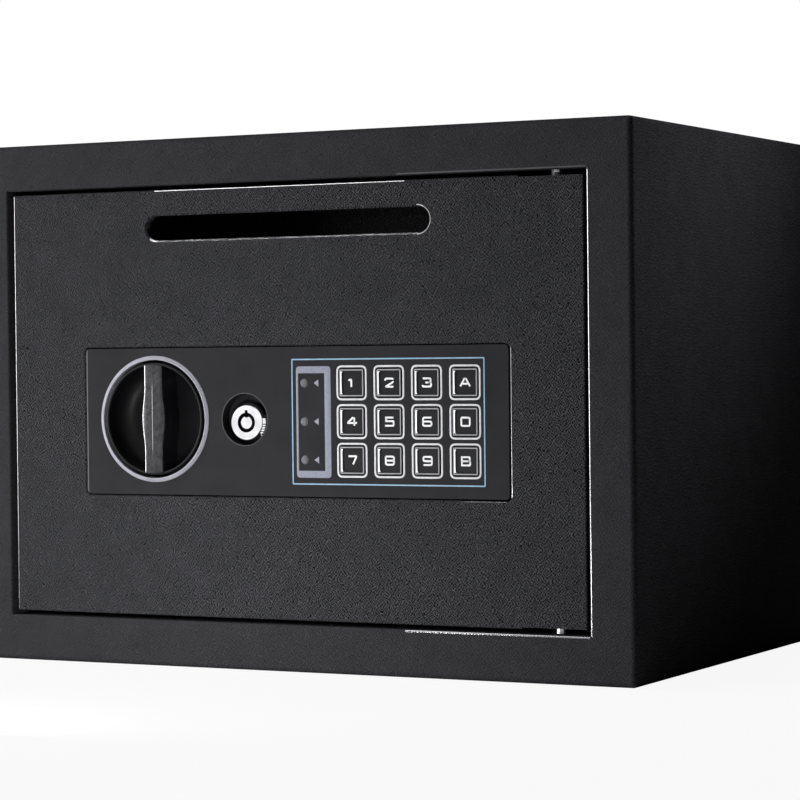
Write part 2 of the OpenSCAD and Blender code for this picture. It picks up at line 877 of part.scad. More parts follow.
// Board with the plug of the cable and the controller on its back
module circuit_board() color("#1f5a3a") placed() {
    block(board_x0, board_x1, pad_back, board_back,
          panel_z - panel_h / 2 + board_in, panel_z + panel_h / 2 - board_in);
    block(cable_x - plug_w / 2, cable_x + plug_w / 2, board_back - sink, plug_back,
          cable_z - plug_h / 2, cable_z + plug_h / 2);
    block(panel_x + chip_x - chip_w / 2, panel_x + chip_x + chip_w / 2,
          board_back - sink, board_back + chip_t, panel_z - chip_h / 2, panel_z + chip_h / 2);
}

module indicator_leds() color("#8f9196") placed() {
    for (j = [0:2]) turned(led_x, keypad_z - j * key_pitch_z) polygon([
        [0, door_recess - led_out], [led_r - led_edge, door_recess - led_out / 4],
        [led_r, door_recess - led_out + led_dome], [led_r, pad_back], [0, pad_back]
    ]);
}

module buzzer() color("#1c1c1f") placed() {
    turned(panel_x + buzzer_x, panel_z + buzzer_z) polygon([
        [buzzer_hole_r, board_back], [buzzer_r, board_back], [buzzer_r, board_back + buzzer_d - buzzer_edge],
        [buzzer_r - buzzer_edge, board_back + buzzer_d], [buzzer_hole_r, board_back + buzzer_d]
    ]);
}

// Flat cable from the board's plug through the tray to the battery box, with one step down
module ribbon_cable() color("#7d7f86") placed() {
    high = cable_z + cable_t / 2;
    low = high - cable_t;
    bend_front = tray_floor - 2 * cable_t;
    bend_back = tray_back + 3 * cable_t;
    strip(cable_x - cable_w / 2, cable_x + cable_w / 2) polygon([
        [plug_back, high], [bend_front, high], [bend_back, high - cable_step],
        [bay_floor - box_t, high - cable_step], [bay_floor - box_t, low - cable_step],
        [bend_back - 0.4 * cable_t, low - cable_step], [bend_front - 0.4 * cable_t, low], [plug_back, low]
    ]);
}

// Override lock: threaded barrel with the notch of its keyway
module lock_barrel() color("#c9cace") placed() {
    bore_back = keyway_back + rotor_t + 4 * keyway_c;
    barrel_back = lock_cam_front - lock_cam_c;
    difference() {
        turned(lock_x, lock_z) polygon([
            [keyway_r, lock_front], [lock_face_r - lock_edge, lock_front],
            [lock_face_r, lock_front + lock_edge], [lock_face_r, lock_front + neck_d],
            [barrel_r, lock_front + neck_d + neck_slope],
            [barrel_r, barrel_back], [spindle_r + run_c, barrel_back], [spindle_r + run_c, bore_back],
            [keyway_r, bore_back]
        ]);
        block(lock_x - keyway_notch_w / 2, lock_x + keyway_notch_w / 2, lock_front - over, keyway_back,
              lock_z, lock_z + keyway_r + keyway_notch_h);
    }
}

// Rotor: the post in the keyway, the disc behind it and the spindle that carries the cam
module lock_plug() color("#b4b5ba") placed() {
    disc_front = keyway_back + 3 * keyway_c;
    difference() {
        turned(lock_x, lock_z) polygon([
            [0, lock_front + keypost_in], [keypost_r - keypost_edge, lock_front + keypost_in],
            [keypost_r, lock_front + keypost_in + keypost_edge], [keypost_r, disc_front],
            [keyway_r - keyway_c, disc_front], [keyway_r - keyway_c, disc_front + rotor_t],
            [spindle_r, disc_front + rotor_t], [spindle_r, lock_cam_front],
            [spindle_end_r, lock_cam_front], [spindle_end_r, lock_cam_back],
            [spindle_head_r, lock_cam_back], [spindle_head_r, lock_cam_back + spindle_head_t],
            [0, lock_cam_back + spindle_head_t]
        ]);
        block(lock_x - keyway_notch_w / 2, lock_x + keyway_notch_w / 2, lock_front - over,
              lock_front + keypost_notch_d, lock_z + keypost_r - keypost_notch, lock_z + keyway_r);
    }
}

module lock_nut() color("#b8b9bd") placed() {
    difference() {
        translate([lock_x, plate_back, lock_z]) rotate([-90, 0, 0]) cylinder(r = nut_r, h = nut_t, $fn = 6);
        rod_y(lock_x, lock_z, barrel_r + run_c, plate_back - over, plate_back + nut_t + over);
    }
}

// The cam's edge is a spiral: it rises by the plunger's lift over a quarter turn
module lock_cam() color("#9d9ea3") placed() {
    steps = 15;
    difference() {
        slab(lock_cam_front, lock_cam_back) translate([lock_x, lock_z]) union() {
            polygon(concat(
                [[0, 0]],
                [for (i = [0:steps]) (lock_cam_r + plunger_lift * i / steps)
                    * [cos(90 + 90 * i / steps), sin(90 + 90 * i / steps)]]
            ));
            circle(r = cam_boss_r);
            polygon([[0, 0], [cam_lead, lock_cam_r - cam_lead_low], [0, lock_cam_r]]);
        }
        rod_y(lock_x, lock_z, spindle_end_r, lock_cam_front - over, lock_cam_back + over);
        rod_y(lock_x - cam_hole_off, lock_z + cam_hole_off, cam_hole_r, lock_cam_front - over,
              lock_cam_back + over);
    }
}

// Half the grip's width at a share t of its length, from -1 to 1: a smooth swell in the middle
function grip_half(t) =
    grip_end_w / 2 + (grip_mid_w - grip_end_w) / 4 * (1 + cos(180 * min(1, abs(t) / grip_swell)));

// Plan of the grip bar, from rim to rim of the dish
module grip_plan() {
    n = 12;
    half_l = dish_r + over;
    intersection() {
        polygon(concat(
            [for (i = [-n:n]) [grip_half(i / n), half_l * i / n]],
            [for (i = [n:-1:-n]) [-grip_half(i / n), half_l * i / n]]
        ));
        circle(r = dish_r + sink);
    }
}

// Profile across the grip bar: a narrow crest, shoulders that fall away and a rounded crown
module grip_crown() {
    half = grip_mid_w / 2 + grip_crown_d;
    polygon([
        [-half, dish_floor + sink], [-half, grip_top + grip_crown_d],
        [-grip_shoulder, grip_top + grip_shoulder_d], [-grip_crest, grip_top],
        [grip_crest, grip_top], [grip_shoulder, grip_top + grip_shoulder_d],
        [half, grip_top + grip_crown_d], [half, dish_floor + sink]
    ]);
}

// Knob: a turned cup with a swelling grip bar across its dish
module knob() color("#1b1b1e") placed() {
    steps = 8;
    difference() {
        union() {
            turned(knob_x, knob_z) polygon(concat(
                [[0, dish_floor]],
                [for (i = [0:steps]) [
                    dish_r - dish_round + dish_round * sin(90 * i / steps),
                    dish_floor - dish_round + dish_round * cos(90 * i / steps)
                ]],
                [
                    [dish_r, rim_top + rim_edge], [dish_r + rim_edge, rim_top],
                    [knob_r - rim_edge, rim_top], [knob_r, rim_top + rim_edge],
                    [knob_r, knob_back - knob_bevel], [knob_r - knob_bevel, knob_back],
                    [hub_r, knob_back], [hub_r, hub_back], [0, hub_back]
                ]
            ));
            intersection() {
                slab(0, dish_floor + sink) translate([knob_x, knob_z]) grip_plan();
                translate([knob_x, 0, knob_z - knob_r]) linear_extrude(2 * knob_r) grip_crown();
            }
        }
        rod_y(knob_x, knob_z, shaft_r + run_c, hub_back - shaft_in, hub_back + over);
    }
}

module knob_shaft() color("#9d9ea3") placed() {
    turned(knob_x, knob_z) polygon([
        [0, hub_back - shaft_in], [shaft_r, hub_back - shaft_in], [shaft_r, cam_back],
        [shaft_r + shaft_head, cam_back], [shaft_r + shaft_head, cam_back + shaft_head_t],
        [0, cam_back + shaft_head_t]
    ]);
}

module shaft_bush() color("#b08d4c") placed() {
    turned(knob_x, knob_z) polygon([
        [shaft_r + run_c, tray_floor], [bush_r, tray_floor], [bush_r, plate_back],
        [bush_flange_r, plate_back], [bush_flange_r, plate_back + bush_flange_t],
        [shaft_r + run_c, plate_back + bush_flange_t]
    ]);
}

// Two-lobed cam on the knob's shaft, with the pin that drives the carriage
module drive_cam() color("#9d9ea3") placed() {
    difference() {
        union() {
            slab(cam_front, cam_back) union() {
                translate([knob_x, knob_z]) circle(r = cam_hub_r);
                translate([crank_x, crank_z]) circle(r = crank_pin_r + cam_wall);
            }
            rod_y(crank_x, crank_z, crank_pin_r, cam_back - sink, carriage_back + crank_over);
        }
        rod_y(knob_x, knob_z, shaft_r, cam_front - over, cam_back + over);
    }
}

// Plate that carries the lock works, with a folded flange that guides the bolts
module mechanism_plate() color("#b3b4b8") placed() {
    difference() {
        union() {
            block(plate_x0, plate_x1, tray_back, plate_back, plate_z0, plate_z1);
            block(plate_x0, plate_x0 + plate_t, plate_back, bolt_y + bolt_r + guide_d,
                  plate_z0, bolt_zs[1] + guide_w);
            block(plate_x0, plate_x1, door_back, tray_back, plate_z1 - plate_t, plate_z1);
        }
        rod_y(knob_x, knob_z, bush_r + run_c, tray_back - over, plate_back + over);
        rod_y(lock_x, lock_z, barrel_r + run_c, tray_back - over, plate_back + over);
        for (z = bolt_zs) rod_x(bolt_y, z, bolt_r + run_c, plate_x0 - over, plate_x0 + plate_t + over);
        panel_corners([-1]) rod_y(0, 0, pilot_r, tray_back - over, plate_back + over);
        for (x = hole_xs) rod_y(x, coil_low + hole_low, hole_r, tray_back - over, plate_back + over);
        cover_corners() rod_y(0, 0, stand_r + stand_c, door_back - over, plate_back + over);
    }
}

module carriage_posts() color("#9d9ea3") placed() {
    for (z = post_zs) turned(post_x, z) polygon([
        [0, plate_back], [shoulder_r, plate_back], [shoulder_r, carriage_front - post_lift],
        [post_r, carriage_front - post_lift], [post_r, carriage_back + post_lift],
        [shoulder_r, carriage_back + post_lift], [shoulder_r, carriage_back + shoulder_t],
        [0, carriage_back + shoulder_t]
    ]);
}

// Sliding plate: a strip that joins the bolts, a web with the drive slot and a tongue with the lock notch
module bolt_carriage() color("#c3c4c8") placed() {
    slot_mid = knob_z + crank_r * (1 + cos(45)) / 2;
    slot_l = crank_r * (1 - cos(45)) + 2 * crank_pin_r + 5 * crank_slip;
    slab(carriage_front, carriage_back) difference() {
        union() {
            translate([carriage_x0, bolt_zs[0] - bolt_r]) square([carriage_strip, bolt_pitch + 2 * bolt_r]);
            translate([carriage_x0, knob_z - web_low])
                square([crank_x + web_right - carriage_x0, tongue_top - knob_z + web_low]);
            translate([carriage_x0, tongue_top - tongue_h])
                square([notch_x + notch_half + tongue_end - carriage_x0, tongue_h]);
        }
        translate([crank_x, slot_mid]) rotate(90) stadium(slot_l, 2 * (crank_pin_r + crank_slip));
        for (z = post_zs) translate([post_x + bolt_throw / 2, z])
            stadium(bolt_throw + 2 * (post_r + 2 * post_c), 2 * (post_r + post_c));
        translate([notch_x - notch_half, tongue_top - notch_in]) square([2 * notch_half, notch_in + over]);
        translate([knob_x, knob_z]) circle(r = shaft_r + hub_c);
    }
}

module bolt(z) color("#d2d3d6") placed() {
    difference() {
        union() {
            rod_x(bolt_y, z, bolt_r, bolt_tip + bolt_edge, carriage_x0 + bolt_socket);
            translate([bolt_tip, bolt_y, z]) rotate([0, 90, 0])
                cylinder(r1 = bolt_r - bolt_edge, r2 = bolt_r, h = bolt_edge);
        }
        block(carriage_x0, carriage_x0 + bolt_socket + over, carriage_front, carriage_back,
              z - bolt_r - over, z + bolt_r + over);
    }
}

module bolt_upper() {
    bolt(bolt_zs[1]);
}

module bolt_lower() {
    bolt(bolt_zs[0]);
}

module solenoid_frame() color("#a2a3a8") placed() {
    frame_back = bolt_y + bobbin_r + bobbin_gap;
    difference() {
        block(lock_x - solenoid_w / 2, lock_x + solenoid_w / 2, plate_back, frame_back, coil_low, coil_top);
        block(lock_x - solenoid_w, lock_x + solenoid_w, bolt_y - bobbin_r, frame_back + over,
              coil_low + solenoid_t, coil_top - solenoid_t);
        rod_z(lock_x, bolt_y, plunger_r + solenoid_c, coil_low - over, coil_top + over);
    }
}

// Bobbin with its winding between two flanges
module solenoid_coil() color("#8a4b2a") placed() {
    low = coil_low + solenoid_t;
    high = coil_top - solenoid_t;
    translate([lock_x, bolt_y, 0]) rotate_extrude() polygon([
        [plunger_r + solenoid_c, low], [bobbin_r, low], [bobbin_r, low + bobbin_flange_t],
        [bobbin_r - bobbin_lip, low + bobbin_flange_t], [bobbin_r - bobbin_lip, high - bobbin_flange_t],
        [bobbin_r, high - bobbin_flange_t], [bobbin_r, high], [plunger_r + solenoid_c, high]
    ]);
}

module solenoid_plunger() color("#c3c4c8") placed() {
    top = coil_top - solenoid_t - plunger_lift - over;
    translate([lock_x, bolt_y, 0]) rotate_extrude() polygon([
        [0, tip_low], [plunger_r - tip_edge, tip_low], [plunger_r, tip_low + tip_edge],
        [plunger_r, collar_low], [collar_r, collar_low], [collar_r, collar_low + collar_t],
        [plunger_r, collar_low + collar_t], [plunger_r, top], [0, top]
    ]);
}

// Wire wound between the collar and the frame: rings of six points along a helix
module plunger_spring() color("#d2d3d6") placed() {
    coil_r = plunger_r + spring_c;
    turns = 6;
    per_turn = 12;
    sides = 6;
    low = collar_low + collar_t + wire_r;
    rise = coil_low - wire_r - low;
    count = turns * per_turn;
    points = [for (i = [0:count], k = [0:sides - 1])
        let (a = 360 * i / per_turn, b = 360 * k / sides, r = coil_r + wire_r * cos(b))
        [r * cos(a), r * sin(a), low + rise * i / count + wire_r * sin(b)]];
    skin = [for (i = [0:count - 1], k = [0:sides - 1])
        let (n = (k + 1) % sides)
        [i * sides + k, i * sides + n, (i + 1) * sides + n, (i + 1) * sides + k]];
    ends = [[for (k = [sides - 1:-1:0]) k], [for (k = [0:sides - 1]) count * sides + k]];
    translate([lock_x, bolt_y, 0]) polyhedron(
        points = points,
        faces = concat([for (f = skin) for (t = [[f[0], f[2], f[1]], [f[0], f[3], f[2]]]) t],
                       [for (f = ends) [for (k = [sides - 1:-1:0]) f[k]]])
    );
}

// Draws its children round each of the inner cover's four screws
module cover_corners() {
    for (x = [cover_x0 + cover_t + stand_in, cover_x1 - cover_t - stand_in],
         z = [cover_z0 + cover_t + stand_up, cover_z1 - cover_t - stand_up])
        translate([x, 0, z]) children();
}

module cover_posts() color("#9d9ea3") placed() {
    cover_corners() difference() {
        rod_y(0, 0, stand_r, door_back, cover_inside);
        rod_y(0, 0, pilot_r, cover_inside - stand_pilot_d, cover_inside + over);
    }
}

module cover_screws() color("#b8b9bd") placed() {
    cover_corners() turned(0, 0) polygon([
        [0, cover_inside - cover_screw_d], [screw_r, cover_inside - cover_screw_d], [screw_r, cover_back],
        [cover_screw_r, cover_back], [0.9 * cover_screw_r, cover_back + 0.75 * cover_screw_h],
        [0.55 * cover_screw_r, cover_back + cover_screw_h], [0, cover_back + cover_screw_h]
    ]);
}

// Moulded cover over the lock works, with the battery opening and the rails of its sliding cover
module inner_cover() color("#2b2c2f") placed() {
    rail_x1 = bay_x1 + lid_over;
    rail_low = lid_z0 - lid_c;
    rail_high = lid_z1 + lid_c;
    difference() {
        union() {
            block(cover_x0, cover_x1, door_back, cover_back, cover_z0, cover_z1);
            for (z = [rail_low - rail_t, rail_high])
                block(bay_x0, rail_x1, cover_back - sink, rail_back, z, z + rail_t);
            block(bay_x0, rail_x1, rail_front, rail_back, rail_low - sink, rail_low + rail_lip);
            block(bay_x0, rail_x1, rail_front, rail_back, rail_high - rail_lip, rail_high + sink);
        }
        block(cover_x0 + cover_t, cover_x1 - cover_t, door_back - over, cover_inside,
              cover_z0 + cover_t, cover_z1 - cover_t);
        block(bay_x0, bay_x1, cover_inside - over, cover_back + over, bay_z0, bay_z1);
        for (z = bolt_zs) rod_x(bolt_y, z, bolt_r + bolt_c, cover_x0 - over, cover_x0 + cover_t + over);
        rod_y(reset_x, reset_z, reset_r + reset_c, cover_inside - over, cover_back + over);
        cover_corners() rod_y(0, 0, screw_r + cover_screw_c, cover_inside - over, cover_back + over);
    }
}

module battery_box() color("#1f2023") placed() {
    difference() {
        block(bay_x0 - box_t, bay_x1 + box_t, bay_floor - box_t, cover_inside,
              bay_z0 - box_t, bay_z1 + box_t);
        block(bay_x0, bay_x1, bay_floor, cover_inside + over, bay_z0, bay_z1);
    }
}

// Four cells side by side, each second one turned round
module batteries() color("#c08a3e") placed() {
    y = bay_floor + battery_r + battery_gap;
    for (i = [0:3]) {
        z = bay_z0 + battery_pitch * (i + 0.5);
        flip = i % 2;
        body_x0 = bay_x0 + nub_l * (1 + flip);
        body_x1 = body_x0 + battery_l - nub_l;
        rod_x(y, z, battery_r, body_x0, body_x1);
        rod_x(y, z, nub_r, flip ? body_x1 - sink : body_x0 - nub_l, flip ? body_x1 + nub_l : body_x0 + sink);
    }
}

module battery_cover() color("#333438") placed() {
    lid_front = cover_back + lid_c;
    lid_back = lid_front + lid_t;
    lid_x0 = bay_x0 - lid_over;
    grooves_z = (bay_z0 + bay_z1 - groove_h) / 2;
    difference() {
        block(lid_x0, bay_x1 + lid_over, lid_front, lid_back, lid_z0, lid_z1);
        for (i = [0:4]) translate([lid_x0 + groove_pitch * (i + 3), lid_back - groove_d, grooves_z])
            cube([groove_w, groove_d + over, groove_h]);
    }
}

// Reset button's cup, and the button with its flange behind the cover
module reset_switch() color("#1f2023") placed() {
    turned(reset_x, reset_z) polygon([
        [0, cover_inside - cup_d], [cup_r, cover_inside - cup_d], [cup_r, cover_inside],
        [cup_in_r, cover_inside], [cup_in_r, cover_inside - cup_floor_d], [0, cover_inside - cup_floor_d]
    ]);
}

module reset_button() color("#b02a26") placed() {
    flange_back = cover_inside - reset_c;
    turned(reset_x, reset_z) polygon([
        [0, cover_inside - reset_stem_d], [reset_stem_r, cover_inside - reset_stem_d],
        [reset_stem_r, cover_inside - reset_flange_d], [reset_flange_r, cover_inside - reset_flange_d],
        [reset_flange_r, flange_back], [reset_r, flange_back], [reset_r, cover_back + reset_out - reset_edge],
        [reset_r - reset_edge, cover_back + reset_out], [0, cover_back + reset_out]
    ]);
}

case_shell();
back_panel();
door_stop();
floor_mat();
door_plate();
hinge_brackets();
hinge_pins();
slot_baffle();
panel_tray();
control_panel();
knob_bezel();
keypad_mat();
circuit_board();
indicator_leds();
buzzer();
panel_screws();
lock_barrel();
lock_nut();
lock_plug();
lock_cam();
knob();
knob_shaft();
shaft_bush();
drive_cam();
mechanism_plate();
carriage_posts();
bolt_carriage();
bolt_upper();
bolt_lower();
solenoid_frame();
solenoid_coil();
solenoid_plunger();
plunger_spring();
inner_cover();
cover_posts();
cover_screws();
battery_box();
batteries();
battery_cover();
ribbon_cable();
reset_switch();
reset_button();
for (k = KEYS) {
    key_cap(k[1], k[2]);
}
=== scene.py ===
"""Electronic drop safe: finishes, fine surfaces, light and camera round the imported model."""

import math

import bmesh
import bpy
import numpy as np
from mathutils import Matrix, Vector


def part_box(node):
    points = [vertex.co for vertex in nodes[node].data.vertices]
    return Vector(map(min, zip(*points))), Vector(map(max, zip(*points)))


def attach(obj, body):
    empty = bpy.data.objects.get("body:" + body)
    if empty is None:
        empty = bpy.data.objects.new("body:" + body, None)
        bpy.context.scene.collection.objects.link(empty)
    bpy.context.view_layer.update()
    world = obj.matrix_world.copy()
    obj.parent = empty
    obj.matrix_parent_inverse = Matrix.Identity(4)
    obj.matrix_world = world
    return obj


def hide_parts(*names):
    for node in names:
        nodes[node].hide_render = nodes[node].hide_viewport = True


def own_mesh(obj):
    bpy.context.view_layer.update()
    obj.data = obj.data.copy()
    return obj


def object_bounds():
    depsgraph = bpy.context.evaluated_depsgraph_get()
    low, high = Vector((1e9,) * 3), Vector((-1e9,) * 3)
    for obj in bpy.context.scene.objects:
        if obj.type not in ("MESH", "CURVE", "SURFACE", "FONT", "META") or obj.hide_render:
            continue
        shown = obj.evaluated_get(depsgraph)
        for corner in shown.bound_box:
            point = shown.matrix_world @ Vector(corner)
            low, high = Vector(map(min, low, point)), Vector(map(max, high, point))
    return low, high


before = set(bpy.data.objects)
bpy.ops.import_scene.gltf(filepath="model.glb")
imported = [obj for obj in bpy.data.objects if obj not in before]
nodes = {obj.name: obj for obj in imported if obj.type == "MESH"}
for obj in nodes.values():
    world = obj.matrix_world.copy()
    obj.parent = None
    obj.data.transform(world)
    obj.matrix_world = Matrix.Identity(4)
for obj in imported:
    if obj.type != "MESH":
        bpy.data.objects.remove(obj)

cad_low, cad_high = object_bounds()


# --- Case ---
# Wrapper, back panel and door stop: 2 mm steel sheet, folded and spot welded, then powder coated
# in black. The coat is matt and has the fine peel that baked powder leaves, with painted shade in
# the pits of the peel; bright bands on some edges of the opening are painted highlights. Here and
# below, lengths are in millimetres and tones are screen values of 0 to 255.

MM = 0.001
FRONT = cad_low.y / MM
CASE_DARK = (47, 47, 49)
CASE_LIGHT = (51, 51, 54)
CASE_BLOTCH = 14.0
CASE_PEEL = 1.05
CASE_PEEL_HEIGHT = 0.2
CASE_PIT_SHADE = 0.35
CASE_ROUGH = 0.5
CASE_SPECULAR = 0.0
NOISE_LOW = 0.3
NOISE_HIGH = 0.7
BLOTCH_DETAIL = 4
PEEL_DETAIL = 2
PEEL_TURNS = ((0.3, 0.75, 0.2), (-0.4, -0.6, 0.5))
PEEL_WINDING = 10.0
PEEL_BROKEN = 1.3
PEEL_SHARE = 0.28
WAVE_LENGTH = 2 * math.pi / 20
ROUGH_SPREAD = 0.04
RIM_PEEL = 0.15
EDGE_FROM = 0.004
EDGE_TO = 0.75
EDGE_GLINT_TONE = (113, 113, 115)
EDGE_ROUGH = 0.17
TOP_EDGE_HIGHLIGHT = (84, 84, 86)
TOP_EDGE_HIGHLIGHT_TO = 0.3
OPENING_TOP = (227.0, 231.0)
OPENING_LOW = (19.0, 22.0)
OPENING_RIGHT = (140.0, 156.0)
TOP_HIGHLIGHT_X = (60.0, 156.0)
LOW_GLINT_X = (62.0, 156.0)


def linear(tone, share=1.0):
    """Screen tone of 0 to 255 as the linear colour that a shader takes, times share, with full
    cover."""
    level = np.array(tone, float) / 255
    curve = np.where(level <= 0.04045, level / 12.92, ((level + 0.055) / 1.055) ** 2.4)
    return (*(share * curve), 1.0)


def new_finish(name, rough, specular, metal=0.0):
    """Empty material with its shader's constants on the shader's own sockets."""
    made = bpy.data.materials.new(name)
    made.use_nodes = True
    shader = made.node_tree.nodes["Principled BSDF"]
    shader.inputs["Roughness"].default_value = rough
    shader.inputs["Specular IOR Level"].default_value = specular
    shader.inputs["Metallic"].default_value = metal
    return made, made.node_tree, shader


def noise_of(tree, cell, detail, stretch=(1, 1, 1)):
    """Noise on the object's own coordinates whose cells measure cell millimetres, pulled along each
    axis by stretch."""
    place = tree.nodes.new("ShaderNodeTexCoord")
    pull = tree.nodes.new("ShaderNodeMapping")
    pull.inputs["Scale"].default_value = tuple(1 / s for s in stretch)
    cloud = tree.nodes.new("ShaderNodeTexNoise")
    cloud.inputs["Scale"].default_value = 1 / (cell * MM)
    cloud.inputs["Detail"].default_value = detail
    tree.links.new(place.outputs["Object"], pull.inputs["Vector"])
    tree.links.new(pull.outputs["Vector"], cloud.inputs["Vector"])
    return cloud.outputs["Fac"]


def ripples(tree, pitch):
    """Short winding ripples, pitch millimetres apart, like those of baked powder: the sum of two
    sets that cross, brought to a range near that of a noise. A wave texture of scale 1 has bands
    WAVE_LENGTH apart."""
    place = tree.nodes.new("ShaderNodeTexCoord")
    sets = []
    for turn in PEEL_TURNS:
        pull = tree.nodes.new("ShaderNodeMapping")
        pull.inputs["Rotation"].default_value = turn
        wave = tree.nodes.new("ShaderNodeTexWave")
        wave.inputs["Scale"].default_value = WAVE_LENGTH / (pitch * MM)
        wave.inputs["Distortion"].default_value = PEEL_WINDING
        wave.inputs["Detail"].default_value = PEEL_DETAIL
        wave.inputs["Detail Scale"].default_value = PEEL_BROKEN
        tree.links.new(place.outputs["Object"], pull.inputs["Vector"])
        tree.links.new(pull.outputs["Vector"], wave.inputs["Vector"])
        sets.append(wave.outputs["Fac"])
    level = tree.nodes.new("ShaderNodeMath")
    level.operation = "MULTIPLY_ADD"
    level.inputs[1].default_value = PEEL_SHARE
    level.inputs[2].default_value = 0.5 - PEEL_SHARE
    tree.links.new(joined(tree, "ADD", *sets), level.inputs[0])
    return level.outputs["Value"]


def ramp_of(tree, source, low, high, first, last):
    """Colour ramp from low to high as source goes from first to last."""
    ramp = tree.nodes.new("ShaderNodeValToRGB")
    ends = ramp.color_ramp.elements
    ends[0].position, ends[1].position = first, last
    ends[0].color, ends[1].color = low, high
    tree.links.new(source, ramp.inputs["Fac"])
    return ramp.outputs["Color"]


def range_of(tree, source, low, high):
    """Source, which lies mostly between NOISE_LOW and NOISE_HIGH, spread from low to high."""
    spread = tree.nodes.new("ShaderNodeMapRange")
    spread.inputs["From Min"].default_value = NOISE_LOW
    spread.inputs["From Max"].default_value = NOISE_HIGH
    spread.inputs["To Min"].default_value = low
    spread.inputs["To Max"].default_value = high
    tree.links.new(source, spread.inputs["Value"])
    return spread.outputs["Result"]


def lift(tree, shader, source, height):
    """Bump that raises the surface by height millimetres where source is 1."""
    bump = tree.nodes.new("ShaderNodeBump")
    bump.inputs["Strength"].default_value = 1.0
    bump.inputs["Distance"].default_value = height * MM
    tree.links.new(source, bump.inputs["Height"])
    tree.links.new(bump.outputs["Normal"], shader.inputs["Normal"])


def joined(tree, operation, first, second):
    """Result of an operation on two sockets."""
    both = tree.nodes.new("ShaderNodeMath")
    both.operation = operation
    tree.links.new(first, both.inputs[0])
    tree.links.new(second, both.inputs[1])
    return both.outputs["Value"]


def blended(tree, kind, share, first, second):
    """First blended into second by share. Each end is a socket or a plain value."""
    blend = tree.nodes.new("ShaderNodeMix")
    blend.data_type = kind
    ends = [i for i in blend.inputs if i.enabled]
    tree.links.new(share, ends[0])
    for end, value in ((ends[1], first), (ends[2], second)):
        if isinstance(value, bpy.types.NodeSocket):
            tree.links.new(value, end)
        else:
            end.default_value = value
    return [o for o in blend.outputs if o.enabled][0]


def coated(name, dark, light, blotch, peel, height, rough, specular, metal=0.0, stretch=(1, 1, 1),
           grain=0.0, powder=False):
    """Coat or moulding whose tone and roughness wander in blotches and whose skin has a fine peel.
    Grain is painted shade: the share by which the pits of the peel are painted darker and its tops
    lighter, as if shaded by the relief. Powder coat peels in ripples."""
    made, tree, shader = new_finish(name, rough, specular, metal)
    cloud = noise_of(tree, blotch, BLOTCH_DETAIL, stretch)
    skin = ripples(tree, peel) if powder else noise_of(tree, peel, PEEL_DETAIL, stretch)
    pits, tops = (ramp_of(tree, cloud, linear(dark, share), linear(light, share),
                          NOISE_LOW, NOISE_HIGH)
                  for share in (1 - grain, 1 + grain))
    tree.links.new(blended(tree, "RGBA", range_of(tree, skin, 0.0, 1.0), pits, tops),
                   shader.inputs["Base Color"])
    tree.links.new(range_of(tree, cloud, rough - ROUGH_SPREAD, rough + ROUGH_SPREAD),
                   shader.inputs["Roughness"])
    lift(tree, shader, skin, height)
    return made


def band_of(tree, axis, low, high, pitch=0.0):
    """1 where the object's coordinate on an axis lies between low and high millimetres, else 0.
    With a pitch the band comes again at each step of it. Two numbers instead of an axis are the X
    and Z of a line along Y, and the band is a range of distances from it."""
    place = tree.nodes.new("ShaderNodeTexCoord")
    if isinstance(axis, str):
        parts = tree.nodes.new("ShaderNodeSeparateXYZ")
        tree.links.new(place.outputs["Object"], parts.inputs["Vector"])
        value = parts.outputs[axis]
    else:
        flat = tree.nodes.new("ShaderNodeVectorMath")
        flat.operation = "MULTIPLY"
        flat.inputs[1].default_value = (1, 0, 1)
        tree.links.new(place.outputs["Object"], flat.inputs[0])
        away = tree.nodes.new("ShaderNodeVectorMath")
        away.operation = "DISTANCE"
        away.inputs[1].default_value = (axis[0] * MM, 0, axis[1] * MM)
        tree.links.new(flat.outputs["Vector"], away.inputs[0])
        value = away.outputs["Value"]
    middle = (low + high) / 2
    if pitch:
        again = tree.nodes.new("ShaderNodeMath")
        again.operation = "WRAP"
        again.inputs[1].default_value = (middle + pitch / 2) * MM
        again.inputs[2].default_value = (middle - pitch / 2) * MM
        tree.links.new(value, again.inputs[0])
        value = again.outputs["Value"]
    near = tree.nodes.new("ShaderNodeMath")
    near.operation = "COMPARE"
    near.inputs[1].default_value = middle * MM
    near.inputs[2].default_value = (high - low) / 2 * MM
    tree.links.new(value, near.inputs[0])
    return near.outputs["Value"]


def zone_finish(made, tone, rough, metal, zones):
    """Another finish within zones, with less of the peel. A zone is a list of bands, each given as
    the values that band_of takes, and a point is in the zone where it lies in all its bands."""
    tree = made.node_tree
    shader = tree.nodes["Principled BSDF"]
    mask = None
    for zone in zones:
        part = band_of(tree, *zone[0])
        for band in zone[1:]:
            part = joined(tree, "MULTIPLY", part, band_of(tree, *band))
        mask = part if mask is None else joined(tree, "MAXIMUM", mask, part)
    for held, kind, value in ((shader.inputs["Base Color"], "RGBA", linear(tone)),
                              (shader.inputs["Roughness"], "FLOAT", rough),
                              (shader.inputs["Metallic"], "FLOAT", metal),
                              (tree.nodes["Bump"].inputs["Strength"], "FLOAT", RIM_PEEL)):
        coat = held.links[0].from_socket if held.links else held.default_value
        tree.links.new(blended(tree, kind, mask, coat, value), held)


def dress(material, *names):
    """Gives CAD nodes their finish."""
    for name in names:
        for held in nodes[name].material_slots:
            held.material = material
